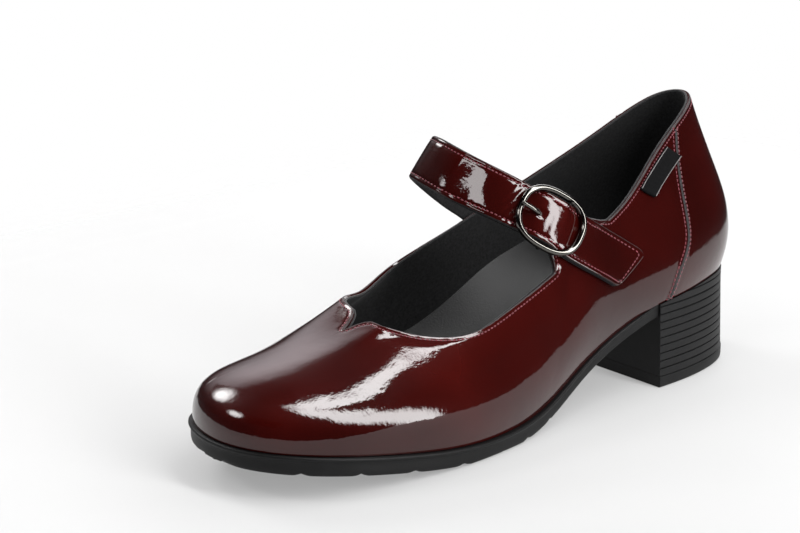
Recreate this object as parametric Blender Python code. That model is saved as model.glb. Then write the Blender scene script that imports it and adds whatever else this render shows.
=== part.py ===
"""Left Mary Jane pump: a low-throated shoe with an instep strap, an oval buckle and a block heel.

Every table is in millimetres, measured from the back of the heel along +X (toe), from the shoe's
middle line along +Y (the wearer's left, which is the outer side of a left foot) and from the floor
along +Z. Objects are placed in metres, with the origin on the floor under the middle of the heel.
"""
import bmesh
import bpy
import numpy as np

MM = 0.001
HEEL_CENTRE_X = 27.0        # from the heel's back to the origin
GAP = 0.3                   # clearance between pieces that touch

# Driving dimensions, in millimetres and degrees
UPPER_WALL = 2.2            # leather, padding and lining together
SOLE_FOREPART = 7.2         # outsole thickness under the ball
SOLE_WAIST = 5.2            # and through the waist and heel seat
SOLE_THINNING = (80, 140)   # the thickness changes between these two places
HEEL_BREAST_X = 56.0        # front face of the heel block
HEEL_FLARE = 1.6            # how far the heel block spreads towards the floor
LIFT_THICKNESS = 4.5        # top piece under the heel block
LIFT_PROUD = 0.3            # it stands proud of the block by this
INSOLE_THICKNESS = 3.5
STRAP_WIDTH = 18.4
STRAP_THICKNESS = 2.4
BUCKLE_HALF_LENGTH = 14.3   # outer size along the strap
BUCKLE_HALF_WIDTH = 12.1
BUCKLE_WIRE = 2.4
BUCKLE_ROUNDNESS = 2.5      # exponent of the oval: 2 is an ellipse, more is squarer
BAR_WIRE = 2.0
PRONG_WIRE = 1.8

# The last, one row for each section around it. fx, fy: the feather line, where upper meets sole.
# cx, cy, cz: the top line. rise, flare: length of the rib's lower handle and its lean outwards.
# run, lean: length of its upper handle and its lean inwards. Angles are from the vertical.
LAST_COLUMNS = ("name", "fx", "fy", "cx", "cy", "cz", "rise", "flare", "run", "lean")
LAST = (
    ("toe", 241.5, -19.5, 177, -1, 47, 25, 4, 42, 67),
    ("toe_outer_front", 244, 9, 176.5, 10, 46, 25, 6, 40, 66),
    ("toe_outer", 227, 29, 169, 17.5, 43.5, 21, 8, 37, 63),
    ("forepart_outer", 198.5, 37.5, 156, 27, 43, 21, 11, 31, 64),
    ("ball_outer", 163.5, 40.5, 136, 28.5, 48, 24, 14, 22, 51),
    ("waist_outer_front", 127, 36.5, 106.5, 27.5, 59, 23, 16, 18, 33),
    ("waist_outer", 92, 30.5, 85, 24.5, 68, 20, 18, 18, 24),
    ("heel_outer", 54, 31, 61, 19.5, 77.5, 21, 17.5, 21, 21),
    ("seat_outer", 26, 28.5, 38, 14, 93, 24, 17.5, 26, 20),
    ("seat_outer_back", 6.5, 19, 18, 8.5, 103.5, 26, 19, 31, 19),
    ("back", -0.5, -1.5, 10, -1.5, 107, 27, 18.5, 32, 19),
    ("seat_inner_back", 8, -22, 17.5, -13, 103.5, 27, 18, 29.5, 20),
    ("seat_inner", 29.5, -29.5, 37.5, -20, 92.5, 24, 16, 24.5, 21),
    ("heel_inner", 60, -28.5, 59, -26, 81, 21, 17, 20, 19),
    ("waist_inner", 95, -26, 85, -30, 70, 24, 22, 18, 15),
    ("waist_inner_front", 129.5, -33, 109.5, -32.5, 60.5, 23, 18, 18, 25),
    ("ball_inner", 170.5, -42.5, 142, -32.5, 50.5, 23, 11, 25, 45),
    ("forepart_inner", 200.5, -40.5, 160, -27, 47, 19, 8, 34, 59),
    ("toe_inner", 223.5, -34, 172, -21, 48.5, 16, 5, 39, 60),
    ("toe_inner_front", 235, -28, 175.5, -11.5, 48, 23, 3, 41, 63),
)
TOE = 0
BACK = 10
SECTIONS = len(LAST)

# Height of the feather line above the floor, along the shoe
FEATHER_COLUMNS = ("x", "height")
FEATHER = (
    (-5, 38), (20, 38), (45, 35.5), (62, 33), (80, 27), (100, 18.5),
    (120, 10.5), (145, 7), (175, 8.5), (205, 13), (228, 16.5), (250, 18.5),
)

# The notch in the middle of the throat: how far the top edge dips below the top line
NOTCH_COLUMNS = ("section", "dip")
NOTCH = (
    (-1.0, 0.0), (-0.74, 1.2), (-0.54, 3.4), (-0.3, 6.8), (-0.11, 10.2),
    (-0.04, 7.0), (0.0, 4.5), (0.05, 1.8), (0.14, 0.3), (0.3, 0.0),
)
# The ear, which carries the buckle: section numbers where it leaves the top line
EAR_FRONT = (4.84, 4.98)
EAR_REAR = (5.9, 6.35)
EAR_HALF_WIDTH = 7.5        # at the buckle's centre bar

# Edge of the outsole, from its upper side down: offset is outwards from the feather line
SOLE_EDGE_COLUMNS = ("share_of_depth", "offset_forepart", "offset_heel")
SOLE_EDGE = (
    (0.0, 1.3, 0.3),
    (0.18, 1.6, 0.5),
    (0.3, 0.9, 0.3),
    (0.85, 0.6, 0.3),
    (1.0, -0.6, 0.1),
)
# The forepart's tread is a row of shallow lugs with notches between them
LUG_NOTCHES = (120, 134, 148.5, 168, 189.5, 211, 230.5, 246)
NOTCH_RISE = 1.1
LUG_FLAT = 0.55             # share of each lug that is flat

# Height of the insole's edge on the wall above the feather line, round the last
INSOLE_EDGE_COLUMNS = ("section", "height")
INSOLE_EDGE = (
    (0, 4.5), (4, 4.5), (7, 6), (9, 8), (11, 8), (12, 11), (13, 17), (14, 22),
    (14.7, 19), (15.5, 10), (16.5, 5), (20, 4.5),
)

# Centre line of the strap, from the free end over the instep to the inner quarter. pitch is the
# slope of its width, downwards to the toe; turn swings the width outwards. Both in degrees.
STRAP_COLUMNS = ("name", "x", "y", "z", "pitch", "turn")
STRAP_PATH = (
    ("free_end", 74.7, 33.5, 52, 54, 6),
    ("outer_quarter", 84, 30.8, 58.3, 52, 12),
    ("buckle_rear", 99.3, 26.8, 68, 48.9, 14.2),
    ("buckle_bar", 108.55, 20.6, 74.65, 48.9, 14.2),
    ("buckle_front", 117.9, 14.6, 81.3, 48.9, 14.2),
    ("crown", 130, -8.2, 91.2, 57, -10),
    ("inner_shoulder", 126.2, -28, 92.7, 54, -12),
    ("inner_slope", 107.1, -36, 79.2, 51, 0),
    ("inner_quarter", 88, -36.3, 63.2, 46, -3),
    ("sewn_end", 80.5, -36, 53.5, 44, -3),
)
FREE_END_SLANT = 5.0        # the cut end runs this far ahead on one edge and behind on the other
FREE_END_SLANT_REACH = 22.0
# The buckle's middle, and its directions: along points up the instep, width points to the toe
BUCKLE_CENTRE = (109.5, 23.5, 76.05)
BUCKLE_ALONG = (0.72, -0.47, 0.51)
BUCKLE_WIDTH = (0.638, 0.161, -0.753)
DOME_HEIGHT = 2.9           # the strap rises over the centre bar by this
DOME_REACH = 7.5            # and this far to either side of it
BAR_DEPTH = 3.0             # the centre bar hangs this far below the ring
PRONG_HOLE = (1.5, 7.0)     # from the centre bar, along the strap
PRONG_HOLE_HALF_WIDTH = 1.5

# Corners of the small tab sewn beside the collar: section number and height on the rib
TAB_CORNERS = ((8.0, 0.97), (8.23, 0.86), (7.38, 0.838), (7.15, 0.975))
TAB_THICKNESS = 0.9


def cubic_spline_second(knots, values, period=None):
    """Second derivatives of the cubic spline through the values, natural or periodic."""
    values = np.asarray(values, float)
    count = len(values)
    steps = np.diff(knots if period is None else np.append(knots, knots[0] + period))
    matrix = np.zeros((count, count))
    right = np.zeros(values.shape)
    for i in range(count):
        if period is None and i in (0, count - 1):
            matrix[i, i] = 1.0
            continue
        before, after = steps[i - 1], steps[i]
        following = (i + 1) % count
        matrix[i, i - 1] += before
        matrix[i, i] += 2.0 * (before + after)
        matrix[i, following] += after
        right[i] = 6.0 * ((values[following] - values[i]) / after
                          - (values[i] - values[i - 1]) / before)
    return np.linalg.solve(matrix, right)


class Spline:
    """A cubic curve through the rows of a table."""

    def __init__(self, knots, values, period=None):
        self.knots = np.asarray(knots, float)
        self.values = np.asarray(values, float)
        self.period = period
        self.second = cubic_spline_second(self.knots, self.values, period)

    def __call__(self, place):
        place = np.asarray(place, float)
        count = len(self.knots)
        if self.period is None:
            ends = self.knots
            index = np.clip(np.searchsorted(ends, place, side="right") - 1, 0, count - 2)
            following = index + 1
        else:
            place = np.mod(place, self.period)
            ends = np.append(self.knots, self.period)
            index = np.searchsorted(ends, place, side="right") - 1
            following = (index + 1) % count
        step = ends[index + 1] - ends[index]
        a = (ends[index + 1] - place) / step
        b = (place - ends[index]) / step
        if self.values.ndim == 2:
            a, b, step = a[..., None], b[..., None], step[..., None]
        return (a * self.values[index] + b * self.values[following]
                + ((a ** 3 - a) * self.second[index] + (b ** 3 - b) * self.second[following])
                * step ** 2 / 6.0)


def unit(vectors):
    length = np.linalg.norm(vectors, axis=-1, keepdims=True)
    return vectors / np.maximum(length, 1e-9)


def smooth_step(value, low, high):
    t = np.clip((np.asarray(value, float) - low) / (high - low), 0.0, 1.0)
    return t * t * (3.0 - 2.0 * t)


class Last:
    """The shoe's form: ribs that climb from the feather line to the top line."""

    def __init__(self):
        rows = np.array([row[1:] for row in LAST], float)
        feet = rows[:, :2]
        chords = np.linalg.norm(np.roll(feet, -1, 0) - feet, axis=1)
        self.knots = np.concatenate([[0.0], np.cumsum(chords)])
        self.girth = self.knots[-1]
        self.rows = Spline(self.knots[:-1], rows, self.girth)
        feather = np.array(FEATHER, float)
        self.feather_height = Spline(feather[:, 0], feather[:, 1])

    def along(self, section):
        """Distance round the feather line at a section number, which may be fractional."""
        section = np.asarray(section, float)
        turns = np.floor(section / SECTIONS)
        inside = section - turns * SECTIONS
        return np.interp(inside, np.arange(SECTIONS + 1), self.knots) + turns * self.girth

    def ribs(self, section):
        """Foot, lower handle, upper handle and top of the rib at each section number."""
        place = self.along(section)
        row = self.rows(place)
        ahead, behind = self.rows(place + 1.0), self.rows(place - 1.0)
        foot = np.column_stack([row[:, :2], self.feather_height(row[:, 0])])
        top = row[:, 2:5]
        centre = np.array([125.0, 0.0])

        def outward(step, at):
            normal = unit(np.column_stack([-step[:, 1], step[:, 0]]))
            side = np.sign(((at - centre) * normal).sum(1))
            return normal * side[:, None]

        foot_out = outward(ahead[:, :2] - behind[:, :2], foot[:, :2])
        top_out = outward(ahead[:, 2:4] - behind[:, 2:4], foot[:, :2])
        spread = foot[:, :2] - top[:, :2]
        share = np.clip((np.linalg.norm(spread, axis=1) - 5.0) / 15.0, 0.0, 1.0)[:, None]
        top_out = unit(share * unit(spread) + (1.0 - share) * top_out)
        flare, lean = np.radians(row[:, 6]), np.radians(row[:, 8])
        low = foot + row[:, 5:6] * np.column_stack([foot_out * np.sin(flare)[:, None], np.cos(flare)])
        high = top + row[:, 7:8] * np.column_stack([top_out * np.sin(lean)[:, None], -np.cos(lean)])
        return foot, low, high, top

    def surface(self, section, height):
        """Points of the outer surface. height is 0 at the feather line and 1 at the top line,
        and past 1 the rib goes straight on."""
        section, height = np.broadcast_arrays(np.asarray(section, float), np.asarray(height, float))
        foot, low, high, top = self.ribs(section.ravel())
        t = np.minimum(height.ravel(), 1.0)[:, None]
        past = np.maximum(height.ravel() - 1.0, 0.0)[:, None]
        points = ((1 - t) ** 3 * foot + 3 * (1 - t) ** 2 * t * low
                  + 3 * (1 - t) * t ** 2 * high + t ** 3 * top + past * 3.0 * (top - high))
        return points.reshape(section.shape + (3,))

    def normal(self, section, height):
        """Outward normals of the surface."""
        section, height = np.broadcast_arrays(np.asarray(section, float), np.asarray(height, float))
        height = np.clip(height, 0.0, 0.999)
        step = 0.02
        round_it = self.surface(section + step, height) - self.surface(section - step, height)
        up_it = (self.surface(section, height + step)
                 - self.surface(section, np.maximum(height - step, 0.0)))
        return unit(np.cross(round_it, up_it))

    def wall_depth(self, section, height, depth):
        """Points inside the outer surface by depth."""
        depth = np.asarray(depth, float)
        return self.surface(section, height) - self.normal(section, height) * depth[..., None]

    def height_share(self, section, rise):
        """The height value at which a rib has climbed to rise above its foot."""
        foot = self.ribs(np.atleast_1d(section))[0]
        low, high = np.zeros(len(foot)), np.full(len(foot), 0.9)
        for _ in range(30):
            middle = (low + high) / 2.0
            climbed = self.surface(section, middle)[:, 2] - foot[:, 2]
            low = np.where(climbed < rise, middle, low)
            high = np.where(climbed < rise, high, middle)
        return (low + high) / 2.0

    def wall_across(self, x, z, start, end):
        """Y of the outer surface, and the height value there, at places given by x and z."""
        sections = np.linspace(start, end, 60)
        heights = np.linspace(0.0, 1.6, 60)
        grid = self.surface(sections[:, None], heights[None, :])
        flat = grid.reshape(-1, 3)
        nearest = np.argmin((flat[None, :, 0] - x[:, None]) ** 2
                            + (flat[None, :, 2] - z[:, None]) ** 2, axis=1)
        section = sections[nearest // len(heights)]
        height = heights[nearest % len(heights)]
        step = 0.01
        for _ in range(8):
            here = self.surface(section, height)
            by_section = (self.surface(section + step, height) - here) / step
            by_height = (self.surface(section, height + step) - here) / step
            dx, dz = x - here[:, 0], z - here[:, 2]
            det = by_section[:, 0] * by_height[:, 2] - by_height[:, 0] * by_section[:, 2]
            section = section + (dx * by_height[:, 2] - dz * by_height[:, 0]) / det
            height = np.clip(height + (dz * by_section[:, 0] - dx * by_section[:, 2]) / det, 0.0, 3.0)
            section = np.clip(section, start, end)
        return self.surface(section, height)[:, 1], height


LAST_FORM = Last()


def outline(sections, offset):
    """The feather line seen from above, moved outwards by offset."""
    foot = LAST_FORM.ribs(sections)[0]
    ahead = LAST_FORM.ribs(sections + 0.02)[0]
    behind = LAST_FORM.ribs(sections - 0.02)[0]
    step = ahead[:, :2] - behind[:, :2]
    normal = unit(np.column_stack([-step[:, 1], step[:, 0]]))
    side = np.sign(((foot[:, :2] - [125.0, 0.0]) * normal).sum(1))
    return foot[:, :2] + normal * (side * offset)[:, None]


def even_sections(count):
    """Section numbers at equal steps: as many on the outer side as on the inner side."""
    return np.arange(count) * SECTIONS / count


# Meshes

def make_object(name, points, faces, colour, roughness, metallic=0.0):
    """A closed mesh object in metres, with its faces turned outwards and its own material."""
    mesh = bpy.data.meshes.new(name)
    places = (np.asarray(points, float) - [HEEL_CENTRE_X, 0.0, 0.0]) * MM
    mesh.from_pydata(places.tolist(), [], faces)
    form = bmesh.new()
    form.from_mesh(mesh)
    bmesh.ops.remove_doubles(form, verts=form.verts, dist=0.00001)
    bmesh.ops.triangulate(form, faces=form.faces)
    bmesh.ops.recalc_face_normals(form, faces=form.faces)
    form.to_mesh(mesh)
    form.free()
    mesh.shade_smooth()
    mesh.set_sharp_from_angle(angle=np.radians(40.0))
    obj = bpy.data.objects.new(name, mesh)
    bpy.context.scene.collection.objects.link(obj)
    material = bpy.data.materials.new(name)
    material.use_nodes = True
    shader = material.node_tree.nodes["Principled BSDF"]
    shader.inputs["Base Color"].default_value = (*colour, 1.0)
    shader.inputs["Roughness"].default_value = roughness
    shader.inputs["Metallic"].default_value = metallic
    mesh.materials.append(material)
    return obj


def loop_faces(rings, count, start=0):
    """Quads that join each ring of points to the next, all round."""
    faces = []
    for ring in range(rings - 1):
        for i in range(count):
            j = (i + 1) % count
            a = start + ring * count
            b = a + count
            faces.append((a + i, a + j, b + j, b + i))
    return faces


def cross_cap(ring_points, surface_height, across):
    """Fills a closed ring with strips from its outer side to its inner side.

    The ring starts at the toe and runs round the outer side to the heel and back. Returns the
    points inside it and a function that gives the faces, for the number of the ring's first point.
    surface_height gives the height of a point there, from its X, the height of the ring beside it
    and how near it is to the ring: 1 on it, 0 well inside.
    """
    count = len(ring_points)
    half = count // 2
    inner_points = []
    for i in range(1, half):
        outer, inner = ring_points[i], ring_points[count - i]
        end = np.clip(1.0 - min(i, half - i) / 5.0, 0.0, 1.0) ** 2
        for k in range(1, across):
            share = k / across
            point = outer * (1 - share) + inner * share
            beside = outer[2] if share < 0.5 else inner[2]
            point[2] = surface_height(point[0], beside, max(end, abs(2.0 * share - 1.0) ** 2.6))
            inner_points.append(point)

    def faces(ring_start, inner_start):
        def at(i, k):
            if i in (0, half):
                return ring_start + i
            if k == 0:
                return ring_start + i
            if k == across:
                return ring_start + count - i
            return inner_start + (i - 1) * (across - 1) + k - 1
        result = []
        for i in range(half):
            for k in range(across):
                corners = [at(i, k), at(i + 1, k), at(i + 1, k + 1), at(i, k + 1)]
                face = list(dict.fromkeys(corners))
                if len(face) > 2:
                    result.append(tuple(face))
        return result

    return inner_points, faces


def solid_between(rings, top_height, bottom_height, across):
    """Points and faces of a solid: its rings run from the upper side down, capped at both ends."""
    count = len(rings[0])
    points = [p for ring in rings for p in ring]
    faces = loop_faces(len(rings), count)
    for ring_start, ring, height in ((0, rings[0], top_height),
                                     (count * (len(rings) - 1), rings[-1], bottom_height)):
        inside, cap_faces = cross_cap(ring, height, across)
        faces += cap_faces(ring_start, len(points))
        points += inside
    return points, faces


# Strap

STRAP_TABLE = np.array([row[1:] for row in STRAP_PATH], float)
STRAP_KNOTS = np.concatenate([[0.0], np.cumsum(np.linalg.norm(np.diff(STRAP_TABLE[:, :3], axis=0), axis=1))])
STRAP_LINE = Spline(STRAP_KNOTS, STRAP_TABLE)
STRAP_LENGTH = STRAP_KNOTS[-1]
BAR_PLACE = STRAP_KNOTS[3]


def buckle_axes():
    along = unit(np.array(BUCKLE_ALONG, float))
    width = np.array(BUCKLE_WIDTH, float)
    width = unit(width - along * (width @ along))
    return np.array(BUCKLE_CENTRE, float), along, width, np.cross(along, width)


def strap_frame(place):
    """Centre, run, width (to the toe) and outward normal at each distance along the strap."""
    row = STRAP_LINE(place)
    run = unit(STRAP_LINE(place + 0.5)[:, :3] - STRAP_LINE(place - 0.5)[:, :3])
    pitch, turn = np.radians(row[:, 3]), np.radians(row[:, 4])
    width = np.column_stack([np.cos(pitch) * np.cos(turn), np.cos(pitch) * np.sin(turn), -np.sin(pitch)])
    width = unit(width - run * (width * run).sum(1, keepdims=True))
    normal = np.cross(run, width)
    offset = place - BAR_PLACE
    dome = DOME_HEIGHT * np.cos(np.pi / 2 * np.clip(offset / DOME_REACH, -1.0, 1.0)) ** 2
    return row[:, :3] + normal * dome[:, None], run, width, normal


def strap_points(place, across, out):
    """Points of the strap: place along it, across its width, out from its middle thickness.

    Over the quarters the strap is pressed onto the upper, with the usual gap.
    """
    place, across, out = (np.ravel(v).astype(float) for v in np.broadcast_arrays(place, across, out))
    centre, run, width, normal = strap_frame(place)
    points = centre + width * across[:, None] + normal * out[:, None]
    under = centre + width * across[:, None] - normal * (STRAP_THICKNESS / 2.0)
    for side, near, start, end in ((1.0, place < BAR_PLACE - 3.0, 4.2, 8.2),
                                   (-1.0, place > STRAP_LENGTH - 45.0, 12.2, 16.4)):
        index = np.flatnonzero(near)
        wall, height = LAST_FORM.wall_across(under[index, 0], under[index, 2], start, end)
        needed = (wall + side * (GAP + 0.1) - under[index, 1]) * side
        hold = 1.0 - smooth_step(height, 1.0, 1.15)
        points[index, 1] += side * needed * hold
    return points


# Upper

def upper_sections():
    """Section numbers of the upper's ribs: closer together at the notch and at the ear."""
    even = np.arange(0.5, SECTIONS - 1.1, 0.2)
    even = even[(even < 4.75) | (even > 6.4)]
    notch = np.array([-1.15, -1.0, -0.86, -0.74, -0.64, -0.54, -0.42, -0.3, -0.2, -0.11,
                      -0.075, -0.04, 0.0, 0.05, 0.09, 0.14, 0.22, 0.35])
    ear = np.array([4.84, 4.88, 4.92, 4.98, 5.15, 5.32, 5.5, 5.7, 5.9, 6.0, 6.1, 6.2, 6.35])
    return np.sort(np.mod(np.concatenate([even, notch, ear]), SECTIONS))


def ear_points(sections, root, share):
    """Outer face of the ear: it leaves the top line and lies against the strap's underside."""
    places = np.linspace(STRAP_KNOTS[1] - 8.0, BAR_PLACE, 120)
    centre, run, width, normal = strap_frame(places)
    under = -STRAP_THICKNESS / 2.0 - 2.0 * GAP - 0.2
    points = np.array(root)
    inward = LAST_FORM.normal(sections, np.ones(len(sections)))
    for i, section in enumerate(sections):
        weight = smooth_step(section, *EAR_FRONT) * (1.0 - smooth_step(section, *EAR_REAR))
        if weight <= 0.0:
            continue
        nearest = np.argmin(np.abs(((root[i] - centre) * run).sum(1)))
        start, start_across = places[nearest], (root[i] - centre[nearest]) @ width[nearest]
        end = BAR_PLACE - BAR_WIRE / 2.0 - GAP
        end_across = EAR_HALF_WIDTH * (1.0 - 2.0 * (section - EAR_FRONT[1]) / (EAR_REAR[0] - EAR_FRONT[1]))
        end_across = np.clip(end_across, -EAR_HALF_WIDTH - 1.0, EAR_HALF_WIDTH)
        foot = strap_points(start, start_across, under)[0]
        here = strap_points(start + (end - start) * share,
                            start_across + (end_across - start_across) * share, under)[0]
        target = here + (root[i] - foot) * (1.0 - share) ** 2
        points[i] = root[i] + weight * (target - root[i])
        strap_out = strap_frame(np.array([start + (end - start) * share]))[3][0]
        inward[i] = unit((1.0 - weight * share) * inward[i] + weight * share * strap_out)
    return points, points - inward * UPPER_WALL


def make_upper():
    sections = upper_sections()
    count = len(sections)
    foot, low, high, top = LAST_FORM.ribs(sections)
    handle = np.linalg.norm(top - high, axis=1)
    notch = np.array(NOTCH, float)
    from_toe = np.where(sections > SECTIONS / 2, sections - SECTIONS, sections)
    reach = 1.0 - np.interp(from_toe, notch[:, 0], notch[:, 1]) / (3.0 * handle)
    wall = np.full(count, UPPER_WALL)
    outer = [LAST_FORM.surface(sections, reach * share)
             for share in (0.0, 0.1, 0.22, 0.36, 0.5, 0.64, 0.77, 0.89, 0.96, 1.0)]
    inner = [LAST_FORM.wall_depth(sections, reach * share, wall)
             for share in (0.0, 0.1, 0.22, 0.36, 0.5, 0.7, 0.88, 1.0)]
    root = outer[-1]
    for share in (0.35, 0.7, 1.0):
        outside, inside = ear_points(sections, root, share)
        outer.append(outside)
        inner.append(inside)
    rings = outer + inner[::-1]
    faces = loop_faces(len(rings), count)
    last_ring = count * (len(rings) - 1)
    faces += [(last_ring + i, last_ring + (i + 1) % count, (i + 1) % count, i) for i in range(count)]
    return make_object("upper", np.concatenate(rings), faces, (0.09, 0.008, 0.012), 0.12)


# Sole and heel

def sole_thickness(x):
    forward = smooth_step(x, *SOLE_THINNING)
    return SOLE_WAIST + (SOLE_FOREPART - SOLE_WAIST) * forward


def sole_bottom(x):
    """Height of the outsole's underside: the tread's lugs in front, smooth behind them."""
    x = np.asarray(x, float)
    base = LAST_FORM.feather_height(x) - GAP - sole_thickness(x)
    height = np.array(base, float)
    for front, back in zip(LUG_NOTCHES[1:], LUG_NOTCHES[:-1]):
        middle, half = (front + back) / 2.0, (front - back) / 2.0
        inside = np.abs(x - middle) <= half
        rise = np.clip((np.abs(x - middle) / half - LUG_FLAT) / (1.0 - LUG_FLAT), 0.0, 1.0)
        height = np.where(inside, base + NOTCH_RISE * rise ** 2, height)
    return np.maximum(height, 0.0)


def make_outsole():
    sections = even_sections(104)
    foot = LAST_FORM.ribs(sections)[0]
    forward = smooth_step(foot[:, 0], *SOLE_THINNING)
    rings = []
    for share, offset_forepart, offset_heel in SOLE_EDGE:
        offset = offset_heel + (offset_forepart - offset_heel) * forward
        plan = outline(sections, offset)
        top = LAST_FORM.feather_height(plan[:, 0]) - GAP
        depth = top - sole_bottom(plan[:, 0])
        rings.append(np.column_stack([plan, top - depth * share]))
    points, faces = solid_between(
        rings,
        lambda x, beside, nearness: LAST_FORM.feather_height(x) - GAP,
        lambda x, beside, nearness: sole_bottom(x),
        5)
    return make_object("outsole", points, faces, (0.02, 0.02, 0.022), 0.55)


def heel_outline(offset, count=28):
    """D-shaped plan of the heel: the sole's outline behind the breast, closed by the breast."""
    start = np.interp(HEEL_BREAST_X, [54.0, 92.0], [7.0, 6.0])
    end = np.interp(HEEL_BREAST_X, [29.5, 60.0], [12.0, 13.0])
    sections = np.linspace(start, end, count)
    plan = outline(sections, np.full(count, offset))
    plan[[0, -1], 0] = HEEL_BREAST_X
    return plan


def flat_cap(start, count):
    """Faces of a D-shaped ring: strips from its outer half to its inner half."""
    faces = []
    for i in range(count // 2 - 1):
        j = count - 1 - i
        faces.append((start + i, start + i + 1, start + j - 1, start + j))
    return faces


def heel_solid(name, levels, colour, roughness):
    """A stack of D-shaped rings; each level is (offset, height of each point)."""
    rings = []
    for offset, height in levels:
        plan = heel_outline(offset)
        level = height(plan[:, 0]) if callable(height) else np.full(len(plan), float(height))
        rings.append(np.column_stack([plan, level]))
    count = len(rings[0])
    faces = loop_faces(len(rings), count) + flat_cap(0, count) + flat_cap(count * (len(rings) - 1), count)
    return make_object(name, np.concatenate(rings), faces, colour, roughness)


def make_heel():
    def seat(x):
        return LAST_FORM.feather_height(x) - GAP - sole_thickness(x) - GAP
    block_foot = LIFT_THICKNESS + GAP
    heel_solid("heel_block", ((0.1, seat), (HEEL_FLARE, block_foot)), (0.018, 0.018, 0.02), 0.5)
    proud = HEEL_FLARE + LIFT_PROUD
    heel_solid("heel_lift", ((proud, LIFT_THICKNESS), (proud, 0.6), (proud - 0.6, 0.0)),
               (0.015, 0.015, 0.017), 0.6)


def make_insole():
    sections = even_sections(80)
    edge = np.array(INSOLE_EDGE, float)
    edge_rise = np.interp(sections, edge[:, 0], edge[:, 1])
    edge_rise = (np.roll(edge_rise, 1) + 2.0 * edge_rise + np.roll(edge_rise, -1)) / 4.0
    inset = np.full(len(sections), UPPER_WALL + GAP + 0.2)
    rings = []
    for share in (1.0, 0.7, 0.4):
        height = LAST_FORM.height_share(sections, edge_rise * share)
        rings.append(LAST_FORM.wall_depth(sections, height, inset))
    underside = LAST_FORM.wall_depth(sections, np.zeros(len(sections)), inset + 0.3)
    underside[:, 2] = LAST_FORM.feather_height(underside[:, 0])
    rings.append(underside)

    def top_height(x, beside, nearness):
        level = LAST_FORM.feather_height(x) + INSOLE_THICKNESS
        return level + (beside - level) * nearness

    points, faces = solid_between(
        rings, top_height, lambda x, beside, nearness: LAST_FORM.feather_height(x), 8)
    return make_object("insole", points, faces, (0.03, 0.03, 0.032), 0.6)


# Strap, buckle and tab

def make_strap():
    half, deep = STRAP_WIDTH / 2.0, STRAP_THICKNESS / 2.0
    hole = PRONG_HOLE_HALF_WIDTH
    across = np.array([-half, -half + 0.7, -5.0, -hole, hole, 5.0, half - 0.7, half])
    edge = np.array([0.45, 1.0, 1.0, 1.0, 1.0, 1.0, 1.0, 0.45]) * deep
    across = np.concatenate([across, across[::-1]])
    out = np.concatenate([edge, -edge[::-1]])
    free = np.array([0.0, 1.2, 3.0, 7.0, 12.0, 17.0, 21.0, 25.0])
    near_bar = BAR_PLACE + np.array([-15.5, -13.0, -10.0, -7.5, -5.0, -2.5, 0.0, PRONG_HOLE[0], 4.2, PRONG_HOLE[1], 9.0, 12.0])
    rest = np.linspace(BAR_PLACE + 16.0, STRAP_LENGTH, 25)
    places = np.concatenate([free, near_bar, rest])
    narrow = np.ones(len(places))
    narrow[:2] = (0.7, 0.93)
    slant = FREE_END_SLANT * np.clip(1.0 - places / FREE_END_SLANT_REACH, 0.0, 1.0) ** 2
    rows = []
    for place, share, lead in zip(places, narrow, slant):
        rows.append(strap_points(place + lead * across / half, across * share, out))
    count = len(across)
    faces = loop_faces(len(rows), count)
    hole_rows = [i for i, place in enumerate(places) if PRONG_HOLE[0] <= place - BAR_PLACE < PRONG_HOLE[1]]
    outer_column, inner_column = 3, 11
    for i in hole_rows:
        for column in (outer_column, inner_column):
            corner = i * count + column
            faces.remove((corner, corner + 1, corner + 1 + count, corner + count))
    first, last = hole_rows[0], hole_rows[-1] + 1

    def hole_wall(row_a, column_a, row_b, column_b):
        return (row_a * count + column_a, row_b * count + column_b,
                row_b * count + 15 - column_b, row_a * count + 15 - column_a)
    for i in range(first, last):
        faces.append(hole_wall(i, 3, i + 1, 3))
        faces.append(hole_wall(i + 1, 4, i, 4))
    faces.append(hole_wall(first, 4, first, 3))
    faces.append(hole_wall(last, 3, last, 4))
    for row in (0, len(rows) - 1):
        start = row * count
        for i in range(count // 2 - 1):
            faces.append((start + i, start + i + 1, start + count - 2 - i, start + count - 1 - i))
    return make_object("strap", np.concatenate(rows), faces, (0.09, 0.008, 0.012), 0.15)


def tube(path, radius, reference, sides=10, closed=False):
    """Points and faces of a round wire along a path. reference is never along the path."""
    path = np.asarray(path, float)
    if closed:
        run = unit(np.roll(path, -1, 0) - np.roll(path, 1, 0))
    else:
        run = unit(np.gradient(path, axis=0))
    side = unit(np.cross(run, reference))
    other = np.cross(side, run)
    angles = np.arange(sides) * 2.0 * np.pi / sides
    radii = np.broadcast_to(radius, len(path))
    rings = [path[i] + radii[i] * (np.cos(a) * side[i] + np.sin(a) * other[i])
             for i in range(len(path)) for a in angles]
    faces = loop_faces(len(path), sides)
    if closed:
        last = sides * (len(path) - 1)
        faces += [(last + i, last + (i + 1) % sides, (i + 1) % sides, i) for i in range(sides)]
    else:
        faces.append(tuple(range(sides)))
        faces.append(tuple(range(sides * (len(path) - 1), sides * len(path))))
    return rings, faces


def from_buckle(places):
    """Points given as (along, width, out) from the buckle's middle."""
    centre, along, width, out = buckle_axes()
    places = np.asarray(places, float)
    return centre + places[:, :1] * along + places[:, 1:2] * width + places[:, 2:] * out


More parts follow.
